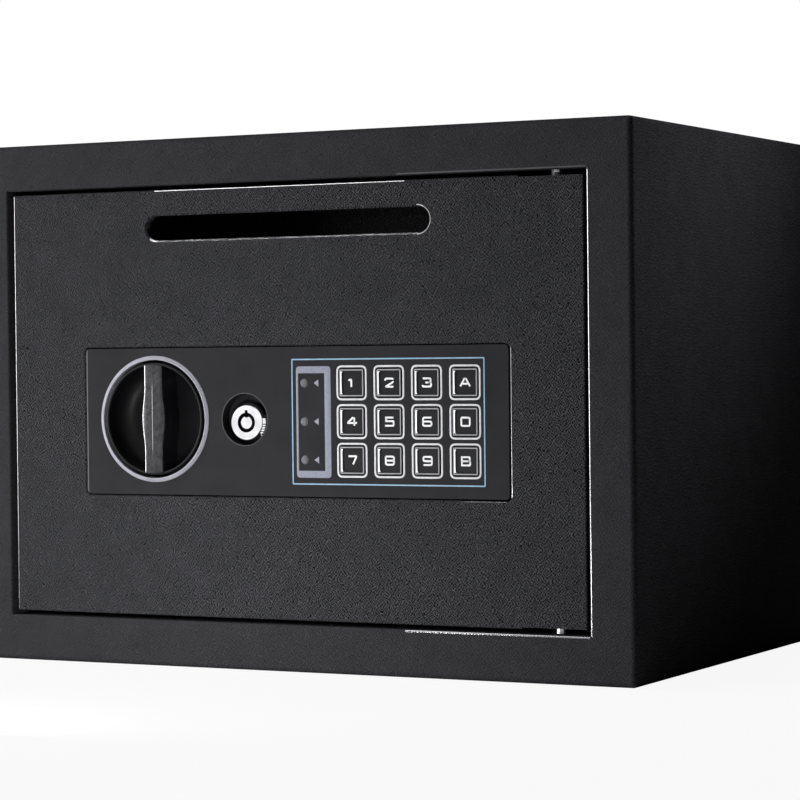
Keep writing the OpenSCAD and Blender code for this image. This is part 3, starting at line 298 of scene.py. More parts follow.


# Painted shade: the pits of the coat's peel are painted darker and its tops lighter.
case_coat = coated("case powder coat", CASE_DARK, CASE_LIGHT, CASE_BLOTCH, CASE_PEEL,
                   CASE_PEEL_HEIGHT, CASE_ROUGH, CASE_SPECULAR, grain=CASE_PIT_SHADE, powder=True)
case_rim = ("Y", FRONT + EDGE_FROM, FRONT + EDGE_TO)
# Painted highlights: a lighter band along the right part of the opening's top edge, and bright
# metal bands on its right and bottom edges that give glints there.
zone_finish(case_coat, TOP_EDGE_HIGHLIGHT, rough=CASE_ROUGH, metal=0.0, zones=[
    [("Y", FRONT + EDGE_FROM, FRONT + TOP_EDGE_HIGHLIGHT_TO), ("X", *TOP_HIGHLIGHT_X), ("Z", *OPENING_TOP)]])
zone_finish(case_coat, EDGE_GLINT_TONE, rough=EDGE_ROUGH, metal=1.0, zones=[
    [case_rim, ("X", *OPENING_RIGHT), ("Z", OPENING_LOW[0], OPENING_TOP[0])],
    [case_rim, ("X", *LOW_GLINT_X), ("Z", *OPENING_LOW)]])
dress(case_coat, "case_shell", "back_panel", "door_stop")


# --- Floor mat ---
# Needle felt, 2 mm thick, cut with two round holes over the anchor holes. It lies loose on the
# floor of the case.

MAT_LEFT, MAT_FRONT = (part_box("floor_mat")[0][i] / MM for i in (0, 1))
MAT_RIGHT, MAT_BACK = (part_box("floor_mat")[1][i] / MM for i in (0, 1))
MAT_LOW, MAT_TOP = (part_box("floor_mat")[i][2] / MM for i in (0, 1))
MAT_HOLE_R = 10.0
MAT_HOLE_X = 100.0
MAT_HOLE_Y = 0.0
MAT_PATCH = 24.0
MAT_STEP = 4.0
MAT_RINGS = 6
MAT_LUMP = 0.12
MAT_SWELL_X = 23.0
MAT_SWELL_Y = 17.0
FELT_DARK = (46, 46, 49)
FELT_LIGHT = (66, 66, 70)
FELT_CELL = 0.9
FELT_DETAIL = 6
FELT_FUZZ = 0.35
FELT_RANGE = (0.35, 0.65)
FELT_SHEEN = 0.25
FELT_SHEEN_ROUGH = 0.5
MERGE = 1e-7


def grid_faces(rows, columns, ring=False):
    """Four-cornered faces over a grid of points; ring joins the last column to the first."""
    index = np.arange(rows * columns).reshape(rows, columns)
    if ring:
        index = np.hstack([index, index[:, :1]])
    corners = [index[:-1, :-1], index[:-1, 1:], index[1:, 1:], index[1:, :-1]]
    return np.stack(corners, -1).reshape(-1, 4)


def new_piece(name, parts, material, body, sharp=35.0):
    """Mesh piece at the origin that rides on a body. parts are pairs of points, in millimetres,
    and faces. Points within MERGE metres are made one, which closes seams and poles, and normals
    face outwards. Edges that bend by more than sharp degrees stay crisp."""
    points, faces, start = [], [], 0
    for part_points, part_faces in parts:
        flat = np.asarray(part_points, float).reshape(-1, 3)
        points.append(flat)
        faces += [[start + i for i in f] for f in part_faces]
        start += len(flat)
    mesh = bpy.data.meshes.new(name)
    mesh.from_pydata(np.vstack(points) * MM, [], faces)
    work = bmesh.new()
    work.from_mesh(mesh)
    bmesh.ops.remove_doubles(work, verts=work.verts, dist=MERGE)
    bmesh.ops.recalc_face_normals(work, faces=work.faces)
    work.to_mesh(mesh)
    work.free()
    mesh.materials.append(material)
    mesh.polygons.foreach_set("use_smooth", [True] * len(mesh.polygons))
    mesh.set_sharp_from_angle(angle=math.radians(sharp))
    piece = bpy.data.objects.new(name, mesh)
    bpy.context.scene.collection.objects.link(piece)
    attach(piece, body)
    return piece


def mat_field(x0, x1, y0, y1):
    """Flat grid from x0 to x1 and y0 to y1 in steps of about MAT_STEP."""
    across = np.linspace(x0, x1, max(2, round((x1 - x0) / MAT_STEP) + 1))
    along = np.linspace(y0, y1, max(2, round((y1 - y0) / MAT_STEP) + 1))
    y, x = np.meshgrid(along, across, indexing="ij")
    return np.dstack([x, y, np.zeros_like(x)]), grid_faces(len(along), len(across))


def mat_hole(x, y):
    """Ring between a round hole and the square round it: each ray runs from the circle out to the
    square, on which its end is the direction divided by the larger of its two shares. The turns are
    arctangents of even steps, so the ends meet the points of the fields next to the square."""
    steps = round(2 * MAT_PATCH / MAT_STEP)
    side = np.arctan(np.linspace(-1, 1, steps + 1)[:-1])
    turn = (np.arange(4)[:, None] * np.pi / 2 + side).ravel()
    ray = np.stack([np.cos(turn), np.sin(turn)], -1)
    square = MAT_PATCH * ray / np.abs(ray).max(-1, keepdims=True)
    share = np.linspace(0, 1, MAT_RINGS)[:, None, None]
    flat = MAT_HOLE_R * ray * (1 - share) + square * share
    place = np.dstack([flat + [x, y], np.zeros(flat.shape[:2])])
    return place, grid_faces(MAT_RINGS, len(turn), ring=True)


mat_columns = [MAT_LEFT, -MAT_HOLE_X - MAT_PATCH, -MAT_HOLE_X + MAT_PATCH,
               MAT_HOLE_X - MAT_PATCH, MAT_HOLE_X + MAT_PATCH, MAT_RIGHT]
mat_rows = [MAT_FRONT, MAT_HOLE_Y - MAT_PATCH, MAT_HOLE_Y + MAT_PATCH, MAT_BACK]
mat_parts = [mat_hole(-MAT_HOLE_X, MAT_HOLE_Y), mat_hole(MAT_HOLE_X, MAT_HOLE_Y)]
for column, x_ends in enumerate(zip(mat_columns, mat_columns[1:])):
    for row, y_ends in enumerate(zip(mat_rows, mat_rows[1:])):
        if row != 1 or column not in (1, 3):  # those two are the squares round the holes
            mat_parts.append(mat_field(*x_ends, *y_ends))
for patch, _ in mat_parts:
    wave = np.sin(patch[..., 0] / MAT_SWELL_X) * np.cos(patch[..., 1] / MAT_SWELL_Y)
    patch[..., 2] = MAT_TOP - MAT_LUMP + MAT_LUMP * wave

felt, felt_tree, felt_shader = new_finish("needle felt", rough=0.95, specular=0.15)
felt_fuzz = noise_of(felt_tree, FELT_CELL, FELT_DETAIL)
felt_tone = ramp_of(felt_tree, felt_fuzz, linear(FELT_DARK), linear(FELT_LIGHT), *FELT_RANGE)
felt_tree.links.new(felt_tone, felt_shader.inputs["Base Color"])
lift(felt_tree, felt_shader, felt_fuzz, FELT_FUZZ)
felt_shader.inputs["Sheen Weight"].default_value = FELT_SHEEN
felt_shader.inputs["Sheen Roughness"].default_value = FELT_SHEEN_ROUGH

felt_mat = new_piece("felt_mat", mat_parts, felt, "case")
felt_thick = felt_mat.modifiers.new("thickness", "SOLIDIFY")
felt_thick.thickness = (MAT_TOP - 2 * MAT_LUMP - MAT_LOW) * MM
felt_thick.offset = -1
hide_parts("floor_mat")


# --- Door ---
# A 4 mm steel plate with the slot and the panel's window cut out, powder coated like the case,
# with its tones set a little lighter as painted light and painted shade in the pits of the peel.
# Bright bands on its edges, the slot and the window are painted highlights. Baffle, tray and hinge
# brackets are folded sheet welded to its back; the pins are turned steel, painted dark as shade
# except a narrow strip where they show in the gaps.

# The door's tones are set a little lighter than the case's: painted light for the brighter light on
# the door.
DOOR_DARK = (50, 50, 52)
DOOR_LIGHT = (54, 54, 57)
DOOR_PEEL_HEIGHT = 0.4
DOOR_PIT_SHADE = 0.85
DOOR_FRONT = 2.0
LIP_DEPTH = 0.1
DOOR_LEFT = (-152.0, -150.15)
DOOR_TOP = (220.0, 240.0)
DOOR_TOP_GLINT_X = (-70.0, 63.0)
SLOT_LOW = (196.0, 206.0)
SLOT_GLINT_X = (-73.0, 90.0)
SLOT_END = (69.1, 207.9)
SLOT_END_RING = (6.45, 6.85)
WINDOW_LOW = (70.0, 90.0)
WINDOW_LOW_GLINT_X = (90.0, 120.0)
WINDOW_RIGHT = (114.6, 115.25)
WINDOW_RIGHT_GLINT_Z = (82.5, 149.5)
RIM_GLINT_TONE = (190, 190, 192)
LIP_GLINT_TONE = (196, 196, 198)
LIP_ROUGH = 0.3
STEEL_LOOK = dict(dark=(150, 150, 153), light=(186, 186, 190), blotch=2.0, peel=0.4, height=0.004,
                  rough=0.3, specular=0.5, metal=1.0, stretch=(1, 1, 6))
PIN_X = 135.4
PIN_SHADE_FROM = PIN_X - 5.0
UPPER_PIN = (150.0, 260.0)
UPPER_PIN_SHADE_TOP = 226.9
UPPER_PIN_SHADE_STOP = 0.2
LOWER_PIN = (0.0, 100.0)
LOWER_PIN_SHADE_TOP = 22.0
LOWER_PIN_SHADE_STOP = 1.6

# Painted shade: the pits of the door coat's peel are painted darker and its tops lighter.
door_coat = coated("door powder coat", DOOR_DARK, DOOR_LIGHT, CASE_BLOTCH, CASE_PEEL,
                   DOOR_PEEL_HEIGHT, CASE_ROUGH, CASE_SPECULAR, grain=DOOR_PIT_SHADE, powder=True)
door_rim = ("Y", FRONT + DOOR_FRONT + EDGE_FROM, FRONT + DOOR_FRONT + EDGE_TO)
door_lip = ("Y", FRONT + DOOR_FRONT - LIP_DEPTH, FRONT + DOOR_FRONT + EDGE_TO)
# Painted highlights: bright metal bands on the door's left edge, the window's lower and right
# edges, the slot's lower edge and right end, and the middle of the door's top edge.
zone_finish(door_coat, EDGE_GLINT_TONE, rough=EDGE_ROUGH, metal=1.0, zones=[
    [door_lip, ("X", *DOOR_LEFT)], [door_rim, ("X", *WINDOW_LOW_GLINT_X), ("Z", *WINDOW_LOW)]])
zone_finish(door_coat, RIM_GLINT_TONE, rough=EDGE_ROUGH, metal=1.0, zones=[
    [door_rim, ("X", *SLOT_GLINT_X), ("Z", *SLOT_LOW)],
    [door_rim, ("X", *DOOR_TOP_GLINT_X), ("Z", *DOOR_TOP)]])
zone_finish(door_coat, LIP_GLINT_TONE, rough=LIP_ROUGH, metal=1.0, zones=[
    [door_lip, ("X", *WINDOW_RIGHT), ("Z", *WINDOW_RIGHT_GLINT_Z)],
    [door_lip, ("X", SLOT_END[0], SLOT_GLINT_X[1]), (SLOT_END, *SLOT_END_RING)]])
turned_steel = coated("turned steel", **STEEL_LOOK)
pin_steel = coated("hinge pin steel", **STEEL_LOOK)
# Painted shade: the pins take the door's dark coat tone below the gaps and on their left side, so
# that only a narrow strip where they show in the gaps stays bright steel.
zone_finish(pin_steel, DOOR_DARK, rough=0.5, metal=0.0, zones=[
    [("Z", UPPER_PIN[0], UPPER_PIN_SHADE_TOP)], [("Z", LOWER_PIN[0], LOWER_PIN_SHADE_TOP)],
    [("X", PIN_SHADE_FROM, PIN_X - UPPER_PIN_SHADE_STOP), ("Z", *UPPER_PIN)],
    [("X", PIN_SHADE_FROM, PIN_X - LOWER_PIN_SHADE_STOP), ("Z", *LOWER_PIN)]])
dress(door_coat, "door_plate", "hinge_brackets", "slot_baffle", "panel_tray")
dress(pin_steel, "hinge_pins")


# --- Control panel ---
# Housing moulded in matt charcoal plastic, held in its tray by four screws from behind. A silver
# lacquered ring is pressed into the well of the knob.

PANEL_DARK = (39, 39, 41)
PANEL_LIGHT = (44, 44, 46)
PANEL_EDGE_HIGHLIGHT = (92, 92, 94)
PANEL_LEFT = (-109.6, -108.9)
PANEL_SKIN = (1.9, 2.6)
WELL_RIM_HIGHLIGHT = (78, 78, 80)
WELL_SKIN = (1.9, 2.1)
WELL_PLACE = (-22.0, 117.2)
WELL_RING = (12.0, 12.45)
SILVER_DARK = (140, 140, 147)
SILVER_LIGHT = (152, 152, 160)
ZINC_DARK = (140, 142, 146)
ZINC_LIGHT = (182, 183, 186)

panel_plastic = coated("panel plastic", PANEL_DARK, PANEL_LIGHT, blotch=14.0, peel=0.35,
                       height=0.008, rough=0.5, specular=0.02)
bezel_silver = coated("silver lacquer", SILVER_DARK, SILVER_LIGHT, blotch=6.0, peel=0.3,
                      height=0.004, rough=0.5, specular=0.15)
zinc = coated("zinc plate", ZINC_DARK, ZINC_LIGHT, blotch=7.0, peel=0.8, height=0.01, rough=0.34,
              specular=0.5, metal=0.9)
# Painted highlight: a lighter strip along the panel's left edge.
zone_finish(panel_plastic, PANEL_EDGE_HIGHLIGHT, rough=0.4, metal=0.0, zones=[
    [("X", *PANEL_LEFT), ("Y", FRONT + PANEL_SKIN[0], FRONT + PANEL_SKIN[1])]])
# Painted highlight: a lighter ring round the rim of the lock's well.
zone_finish(panel_plastic, WELL_RIM_HIGHLIGHT, rough=0.4, metal=0.0, zones=[
    [("Y", FRONT + WELL_SKIN[0], FRONT + WELL_SKIN[1]), (WELL_PLACE, *WELL_RING)]])
dress(panel_plastic, "control_panel")
dress(bezel_silver, "knob_bezel")
dress(zinc, "panel_screws")


# --- Key pad ---
# Twelve moulded keys over a rubber mat with a dome for each, and a printed circuit board behind.
# Frames, pointers and figures are printed on in white, pale blue and lilac grey.

KEY_DARK = (17, 17, 20)
KEY_LIGHT = (21, 21, 24)
KEY_RIM_HIGHLIGHT = (150, 150, 154)
KEY_GLINT = (205, 205, 207)
KEY_TOP = 1.7
KEY_SKIN = (KEY_TOP - 0.1, KEY_TOP + 0.05)
KEY_RIM_HIGHLIGHT_W = 0.5
KEY_RIM_X = 5.85
KEY_RIM_Z = 5.9
KEY_GLINT_W = 1.0
KEY_GLINT_SKIN = (KEY_TOP - 0.1, 2.25)
KEY_GLINT_HALF = 5.2
KEY_COLUMN = 34.75
KEY_ROW = 134.05
KEY_PITCH_X = 19.2
KEY_PITCH_Z = 17.75
KEY_ORDER = [["1", "2", "3", "a"], ["4", "5", "6", "0"], ["7", "8", "9", "b"]]
KEY_FACE_DEPTH = 2.3
PANEL_DEPTH = 2.0
INK = 0.04
INK_BEVEL = 0.08
INK_WORN = 0.9
MITRE_LEAST = 0.3
FRAME_W = 14.8
FRAME_H = 15.15
FRAME_LINE = 0.88
FRAME_R = 2.3
PAD_BOX = (3.6, 101.9, 87.4, 145.0)
PAD_LINE = 0.62
PAD_R = 0.4
LAMP_BOX = (5.7, 23.8, 90.3, 141.8)
LAMP_LINES = (1.1, 3.2, 3.2)
LAMP_R = 1.7
LAMP_INNER_R = 0.34
LAMP_BEVEL = 0.05
POINTER_TIP = 15.0
POINTER_BASE = 17.4
POINTER_HALF = 1.65
FIGURE_W = 4.2
FIGURE_H = 3.7
FIGURE_LINE = 0.86
FIGURE_BEND = 0.55
FIGURE_BENDS = {"0": 0.75, "2": 0.8, "3": 0.6, "6": 0.75, "8": 0.9, "9": 0.75}
INK_WHITE = (236, 236, 238)
INK_GREY = (208, 208, 212)
INK_BLUE = (138, 174, 200)
INK_LILAC = (128, 131, 145)
INK_POINTER = (140, 141, 150)


def softened(corners, radius, steps=5, closed=False):
    """Path with its corners rounded: each corner becomes a curve of the second degree between two
    points that lie radius before and after it. An open path keeps its two ends."""
    path = np.asarray(corners, float)
    corner = path if closed else path[1:-1]
    before = (np.roll(path, 1, 0) if closed else path[:-2]) - corner
    after = (np.roll(path, -1, 0) if closed else path[2:]) - corner
    reach_in = np.linalg.norm(before, axis=1, keepdims=True)
    reach_out = np.linalg.norm(after, axis=1, keepdims=True)
    start = corner + before / reach_in * np.minimum(radius, reach_in / 2)
    end = corner + after / reach_out * np.minimum(radius, reach_out / 2)
    t = np.linspace(0, 1, steps)[None, :, None]
    curve = ((1 - t) ** 2 * start[:, None] + 2 * t * (1 - t) * corner[:, None]
             + t ** 2 * end[:, None]).reshape(-1, 2)
    return curve if closed else np.vstack([path[:1], curve, path[-1:]])


def ink_line(path, line, depth, closed=False):
    """Printed line: a flat film of width line along a path in X and Z. At each point the sides lie
    half the line away along the mitre, which is the mean of the two neighbouring normals."""
    run = np.asarray(path, float)
    if closed:
        step = np.roll(run, -1, 0) - run
        back = run - np.roll(run, 1, 0)
    else:
        step = np.vstack([np.diff(run, axis=0), run[-1:] - run[-2:-1]])
        back = np.vstack([run[1:2] - run[:1], np.diff(run, axis=0)])
    step = step / np.linalg.norm(step, axis=1, keepdims=True)
    back = back / np.linalg.norm(back, axis=1, keepdims=True)
    normal = np.stack([-(step + back)[:, 1], (step + back)[:, 0]], -1)
    normal = normal / np.maximum(np.sum(normal * normal, 1, keepdims=True) / 2, MITRE_LEAST)
    side = np.array([-0.5, -0.5 + INK_BEVEL, 0.5 - INK_BEVEL, 0.5]) * line
    film = np.array([0, INK, INK, 0])
    flat = run[:, None, :] + side[None, :, None] * normal[:, None, :]
    y = np.broadcast_to(FRONT + depth - film, flat.shape[:2])
    points = np.dstack([flat[..., 0], y, flat[..., 1]])
    if closed:
        points = np.concatenate([points, points[:1]])
    return points, grid_faces(len(points), 4, ring=True)


def box_path(x0, x1, z0, z1, radius):
    """Closed rounded rectangle."""
    return softened([(x0, z0), (x1, z0), (x1, z1), (x0, z1)], radius, closed=True)


def ink_capped(part):
    """An open printed line with its two ends closed."""
    points, faces = part
    rows = len(points)
    caps = [[0, 1, 2, 3], [4 * rows - 1, 4 * rows - 2, 4 * rows - 3, 4 * rows - 4]]
    return points, np.vstack([faces, caps])


def printed(name, tone):
    """Screen printed ink, a little uneven where it lies on the grain."""
    worn = tuple(INK_WORN * t for t in tone)
    return coated(name, worn, tone, blotch=1.5, peel=0.3, height=0.004, rough=0.5, specular=0.3)


def about(axis, middle, half, pitch):
    """Band that reaches half millimetres to each side of middle, and again at each step of
    pitch."""
    return axis, middle - half, middle + half, pitch


key_plastic = coated("key plastic", KEY_DARK, KEY_LIGHT, blotch=5.0, peel=0.3, height=0.008,
                     rough=0.45, specular=0.1)
# Painted highlights on the keys: a light line round the top of each key's rim, and a bright metal
# strip on the inner left wall of each rim for its glint.
key_skin = ("Y", FRONT + KEY_SKIN[0], FRONT + KEY_SKIN[1])
key_rim_highlights = []
for side in (-1, 1):
    key_rim_highlights += [
        [key_skin, about("X", KEY_COLUMN + side * KEY_RIM_X, KEY_RIM_HIGHLIGHT_W / 2, KEY_PITCH_X),
         about("Z", KEY_ROW, KEY_RIM_Z, KEY_PITCH_Z)],
        [key_skin, about("Z", KEY_ROW + side * KEY_RIM_Z, KEY_RIM_HIGHLIGHT_W / 2, KEY_PITCH_Z),
         about("X", KEY_COLUMN, KEY_RIM_X, KEY_PITCH_X)]]
zone_finish(key_plastic, KEY_RIM_HIGHLIGHT, rough=0.45, metal=0.0, zones=key_rim_highlights)
key_glint_x = KEY_COLUMN - KEY_RIM_X + (KEY_RIM_HIGHLIGHT_W + KEY_GLINT_W) / 2
zone_finish(key_plastic, KEY_GLINT, rough=0.5, metal=1.0, zones=[
    [("Y", FRONT + KEY_GLINT_SKIN[0], FRONT + KEY_GLINT_SKIN[1]),
     about("X", key_glint_x, KEY_GLINT_W / 2, KEY_PITCH_X),
     about("Z", KEY_ROW, KEY_GLINT_HALF, KEY_PITCH_Z)]])
rubber = coated("silicone rubber", dark=(80, 80, 86), light=(92, 92, 98), blotch=6.0, peel=0.6,
                height=0.01, rough=0.7, specular=0.3)
board_green = coated("solder resist", dark=(24, 70, 48), light=(34, 92, 62), blotch=2.5, peel=0.5,
                     height=0.01, rough=0.35, specular=0.5)
lamp_lens = coated("lamp lens", dark=(92, 92, 94), light=(112, 112, 114), blotch=1.5, peel=0.3,
                   height=0.004, rough=0.7, specular=0.1)
black_plastic = coated("black plastic", dark=(28, 28, 31), light=(36, 36, 39), blotch=4.0, peel=0.4,
                       height=0.01, rough=0.4, specular=0.3)
ink_white = printed("white ink", INK_WHITE)
ink_grey = printed("light grey ink", INK_GREY)
ink_blue = printed("pale blue ink", INK_BLUE)
ink_lilac = printed("lilac grey ink", INK_LILAC)
ink_pointer = printed("pointer ink", INK_POINTER)

FIGURES = {
    "0": [[(-1, 1), (1, 1), (1, -1), (-1, -1), (-1, 1)]],
    "1": [[(-0.8, 0.62), (-0.12, 0.9), (-0.12, -1)]],
    "2": [[(-1, 0.55), (-0.85, 1), (1, 1), (1, 0.15), (-0.9, -1), (1.05, -1)]],
    "3": [[(-0.95, 1), (0.9, 1), (0.9, 0), (-0.35, 0)],
          [(0.4, 0), (1, 0), (1, -1), (-1, -1), (-1, -0.6)]],
    "4": [[(0.5, -1), (0.5, 1), (0.15, 1), (-1.15, -0.35), (1.15, -0.35)]],
    "5": [[(-1.05, 1), (0.95, 1)], [(-0.82, 1), (-0.82, 0.12)],
          [(-1.05, 0.12), (1, 0.12), (1, -1), (-1.05, -1)]],
    "6": [[(1, 1), (-1, 1), (-1, -1), (1, -1), (1, 0.05), (-1, 0.05)]],
    "7": [[(-1, 1), (1, 1), (0.1, -1)]],
    "8": [[(-1, 1), (1, 1), (1, -1), (-1, -1), (-1, 1)], [(-1, 0), (1, 0)]],
    "9": [[(-1, -1), (1, -1), (1, 1), (-1, 1), (-1, -0.05), (1, -0.05)]],
    "a": [[(-1.15, -1), (-0.15, 0.95), (0.15, 0.95), (1.15, -1)], [(-0.6, -0.35), (0.6, -0.35)]],
    "b": [[(-0.95, 1.24), (-0.95, -1.24)], [(-0.9, 1), (0.9, 1), (0.9, 0.02), (-0.9, 0.02)],
          [(0.5, 0.02), (1, 0.02), (1, -1), (-0.8, -1)]],
}

key_frames = []
for row, names in enumerate(KEY_ORDER):
    for column, figure in enumerate(names):
        x = KEY_COLUMN + column * KEY_PITCH_X
        z = KEY_ROW - row * KEY_PITCH_Z
        key_frames.append(ink_line(
            box_path(x - FRAME_W / 2, x + FRAME_W / 2, z - FRAME_H / 2, z + FRAME_H / 2, FRAME_R),
            FRAME_LINE, PANEL_DEPTH, closed=True))
        strokes = [
            ink_capped(ink_line(
                softened(np.array(stroke) * [FIGURE_W / 2, FIGURE_H / 2],
                         FIGURE_BENDS.get(figure, FIGURE_BEND)) + [x, z],
                FIGURE_LINE, KEY_FACE_DEPTH))
            for stroke in FIGURES[figure]]
        body = "key_" + figure
        dress(key_plastic, body)
        new_piece("figure_" + figure, strokes, ink_white, body)
new_piece("key_frames", key_frames, ink_grey, "door")
new_piece("pad_frame", [ink_line(box_path(*PAD_BOX, PAD_R), PAD_LINE, PANEL_DEPTH, closed=True)],
          ink_blue, "door")


def lamp_band():
    """Band of unequal sides between an outer and an inner rounded rectangle."""
    x0, x1, z0, z1 = LAMP_BOX
    left, right, end = LAMP_LINES
    outer = box_path(x0, x1, z0, z1, LAMP_R)
    inner = box_path(x0 + left, x1 - right, z0 + end, z1 - end, LAMP_INNER_R)
    bevel = LAMP_BEVEL * (inner - outer)
    loops = np.stack([outer, outer + bevel, inner - bevel, inner])
    film = np.array([0, INK, INK, 0])[:, None] * np.ones(len(outer))
    points = np.dstack([loops[..., 0], FRONT + PANEL_DEPTH - film, loops[..., 1]])
    closed = np.concatenate([points, points[:1]])
    return closed, grid_faces(len(closed), len(outer), ring=True)


def pointer(z):
    """Small triangle that points at a lamp, as its points, its sides and its two ends."""
    flat = np.array([[POINTER_TIP, z], [POINTER_BASE, z + POINTER_HALF],
                     [POINTER_BASE, z - POINTER_HALF]])
    rim = np.column_stack([flat[:, 0], np.full(3, FRONT + PANEL_DEPTH), flat[:, 1]])
    top = rim - [0, INK, 0]
    points = np.vstack([rim, top])
    return points, [[0, 1, 4, 3], [1, 2, 5, 4], [2, 0, 3, 5]], [[3, 4, 5], [2, 1, 0]]


new_piece("lamp_frame", [lamp_band()], ink_lilac, "door")
pointer_parts = []
for row in range(3):
    points, sides, ends = pointer(KEY_ROW - row * KEY_PITCH_Z)
    pointer_parts += [(points, sides), (points, ends)]
new_piece("lamp_pointers", pointer_parts, ink_pointer, "door")
dress(rubber, "keypad_mat")
dress(board_green, "circuit_board")
dress(lamp_lens, "indicator_leds")
dress(black_plastic, "buzzer")


# --- Override lock ---
# Tubular cam lock: a chromed brass barrel with a fine thread, a rotor whose post stands in the ring
# of the keyway, and a steel cam and nut behind the mechanism plate. The barrel's side, the keyway
# and most of the thread are painted dark as shade, and glints on the barrel's side and thread are
# painted highlights.

CHROME_DARK = (232, 232, 235)
CHROME_LIGHT = (246, 246, 249)
BARREL_SHADE = (26, 26, 28)
FACE_DEPTH = 3.95
KEYWAY = (2.9, 4.85)
KEYWAY_DEPTH = 3.56
GLINT_HALF = 3.3
GLINT_PITCH = 1.15
LOCK_X = -22.0
LOCK_Z = 115.7
LOCK_FAR = 20.0
BARREL_END = 60.0
SIDE_GLINT_X = (7.5, 10.0)
SIDE_GLINT_Y = (FACE_DEPTH, 6.5)
SIDE_GLINT_Z = (-0.5, 2.0)
THREAD_GLINT_X = (7.0, 10.0)
THREAD_GLINT_Y = (FACE_DEPTH, 5.6)
THREAD_GLINT_Z = (-1.7, -1.0)
THREAD_R = 9.45
THREAD_RISE = 0.35
THREAD_SUNK = 0.1
THREAD_HALF = 0.45
THREAD_FADE = 0.6
THREAD_STEPS = 72
THREAD_PITCH = 0.9
THREAD_FROM = 5.3
THREAD_TO = 7.9


def lock_thread():
    """Screw thread: a ridge of four points carried along a helix, whose depth grows by the pitch
    with each turn. At both ends it fades out over THREAD_FADE radians."""
    turns = (THREAD_TO - THREAD_FROM) / THREAD_PITCH
    angle = np.linspace(0, 2 * np.pi * turns, round(THREAD_STEPS * turns))
    middle = THREAD_FROM + THREAD_PITCH * angle / (2 * np.pi)
    taper = np.clip(np.minimum(angle, angle[-1] - angle) / THREAD_FADE, 0, 1)[:, None]
    radius = THREAD_R + np.array([-THREAD_SUNK, 0, 1, 0]) * THREAD_RISE * taper
    depth = middle[:, None] + np.array([0, -THREAD_HALF, 0, THREAD_HALF]) * THREAD_PITCH * taper
    points = np.dstack([LOCK_X + radius * np.cos(angle)[:, None], FRONT + depth,
                        LOCK_Z + radius * np.sin(angle)[:, None]])
    return points, grid_faces(len(angle), 4, ring=True)


def beside_lock(across, deep, up, pitch=0.0):
    """Zone measured from the lock's axis across and up, and from the front in depth. With a pitch
    it comes again at each step up and down."""
    return [("Y", FRONT + deep[0], FRONT + deep[1]), ("X", LOCK_X + across[0], LOCK_X + across[1]),
            ("Z", LOCK_Z + up[0], LOCK_Z + up[1], pitch)]


chrome = coated("chrome", CHROME_DARK, CHROME_LIGHT, blotch=5.0, peel=0.5, height=0.003, rough=0.16,
                specular=0.5, metal=1.0)
# Painted shade: the barrel's side behind the face and the keyway's ring are painted dark.
zone_finish(chrome, BARREL_SHADE, rough=0.4, metal=1.0, zones=[
    [("Y", FRONT + FACE_DEPTH, FRONT + BARREL_END)],
    [("Y", FRONT + KEYWAY_DEPTH, FRONT + BARREL_END), ((LOCK_X, LOCK_Z), *KEYWAY)]])
# Painted highlights: a bright glint on the barrel's side and stripes of glint on its thread.
zone_finish(chrome, CHROME_LIGHT, rough=0.3, metal=1.0, zones=[
    beside_lock(SIDE_GLINT_X, SIDE_GLINT_Y, SIDE_GLINT_Z),
    beside_lock(THREAD_GLINT_X, THREAD_GLINT_Y, THREAD_GLINT_Z, GLINT_PITCH)
    + [("Z", LOCK_Z - 2 * GLINT_HALF, LOCK_Z)]])
# Painted shade on the thread: dark above and below a short bright span beside the lock's axis.
thread_glint_chrome = coated("thread painted glint and shade", CHROME_DARK, CHROME_LIGHT, blotch=1.2, peel=0.5, height=0.02,
                       rough=0.2, specular=0.5, metal=1.0)
zone_finish(thread_glint_chrome, BARREL_SHADE, rough=0.4, metal=1.0, zones=[
    [("Z", LOCK_Z - LOCK_FAR, LOCK_Z - GLINT_HALF)],
    [("Z", LOCK_Z + GLINT_HALF, LOCK_Z + LOCK_FAR)]])
new_piece("lock_thread", [lock_thread()], thread_glint_chrome, "door", sharp=20)
dress(chrome, "lock_barrel", "lock_plug")
dress(zinc, "lock_nut", "lock_cam")


# --- Knob ---
# Moulded satin black cup with a grip bar from rim to rim. It turns on a steel shaft in a brass
# bush, and the two-lobed cam on the shaft carries the pin that drives the bolts.

KNOB_X = -71.3
KNOB_Z = 117.4
KNOB_R = 26.7
DISH_R = 25.4
RIM_TOP = 1.1
RIM_ROUND = 0.5
DISH_FLAT = 10.0
DISH_WALL = (4.5, 3.0)
DISH_FLOOR = 14.1
DISH_ROUND = 8.0
SKIRT_TOP = 6.0
KNOB_BACK = 15.8
BACK_SLOPE = 3.5
HUB_R = 8.0
HUB_BACK = 20.0
BORE_R = 4.05
BORE_FRONT = 17.0
GRIP_TOP = 0.2
GRIP_FOOT = DISH_FLOOR + 0.5
GRIP_REACH = DISH_R + 0.3
GRIP_END = 5.0
GRIP_SWELL = 1.35
GRIP_SHARE = 0.62
GRIP_EDGE = 0.9
GRIP_SLOPE = 0.005
GRIP_CREST = 0.5
GRIP_GATHER = 1.8
GRIP_STEPS = 81
GRIP_ACROSS = 61
GRIP_EDGE_STEPS = 7
GRIP_EDGE_LEAN = 100
GRIP_WALL_STEPS = 12
FLANK_FLAT = 3.2
FLANK_FALL = 0.02
RIDGE_H = 0.07
RIDGE_W = 0.22
RIDGE_SHARE = 0.78
RIDGE_FADE = 3.0
KNOB_DARK = (15, 15, 17)
KNOB_LIGHT = (18, 18, 20)
GRIP_DARK = (22, 22, 25)
GRIP_LIGHT = (42, 42, 46)
GRIP_GLINT_DARK = (120, 120, 123)
GRIP_GLINT_LIGHT = (170, 170, 173)
GLINT_FACING_LEFT = -0.27
GLINT_FACING_FRONT = -0.35
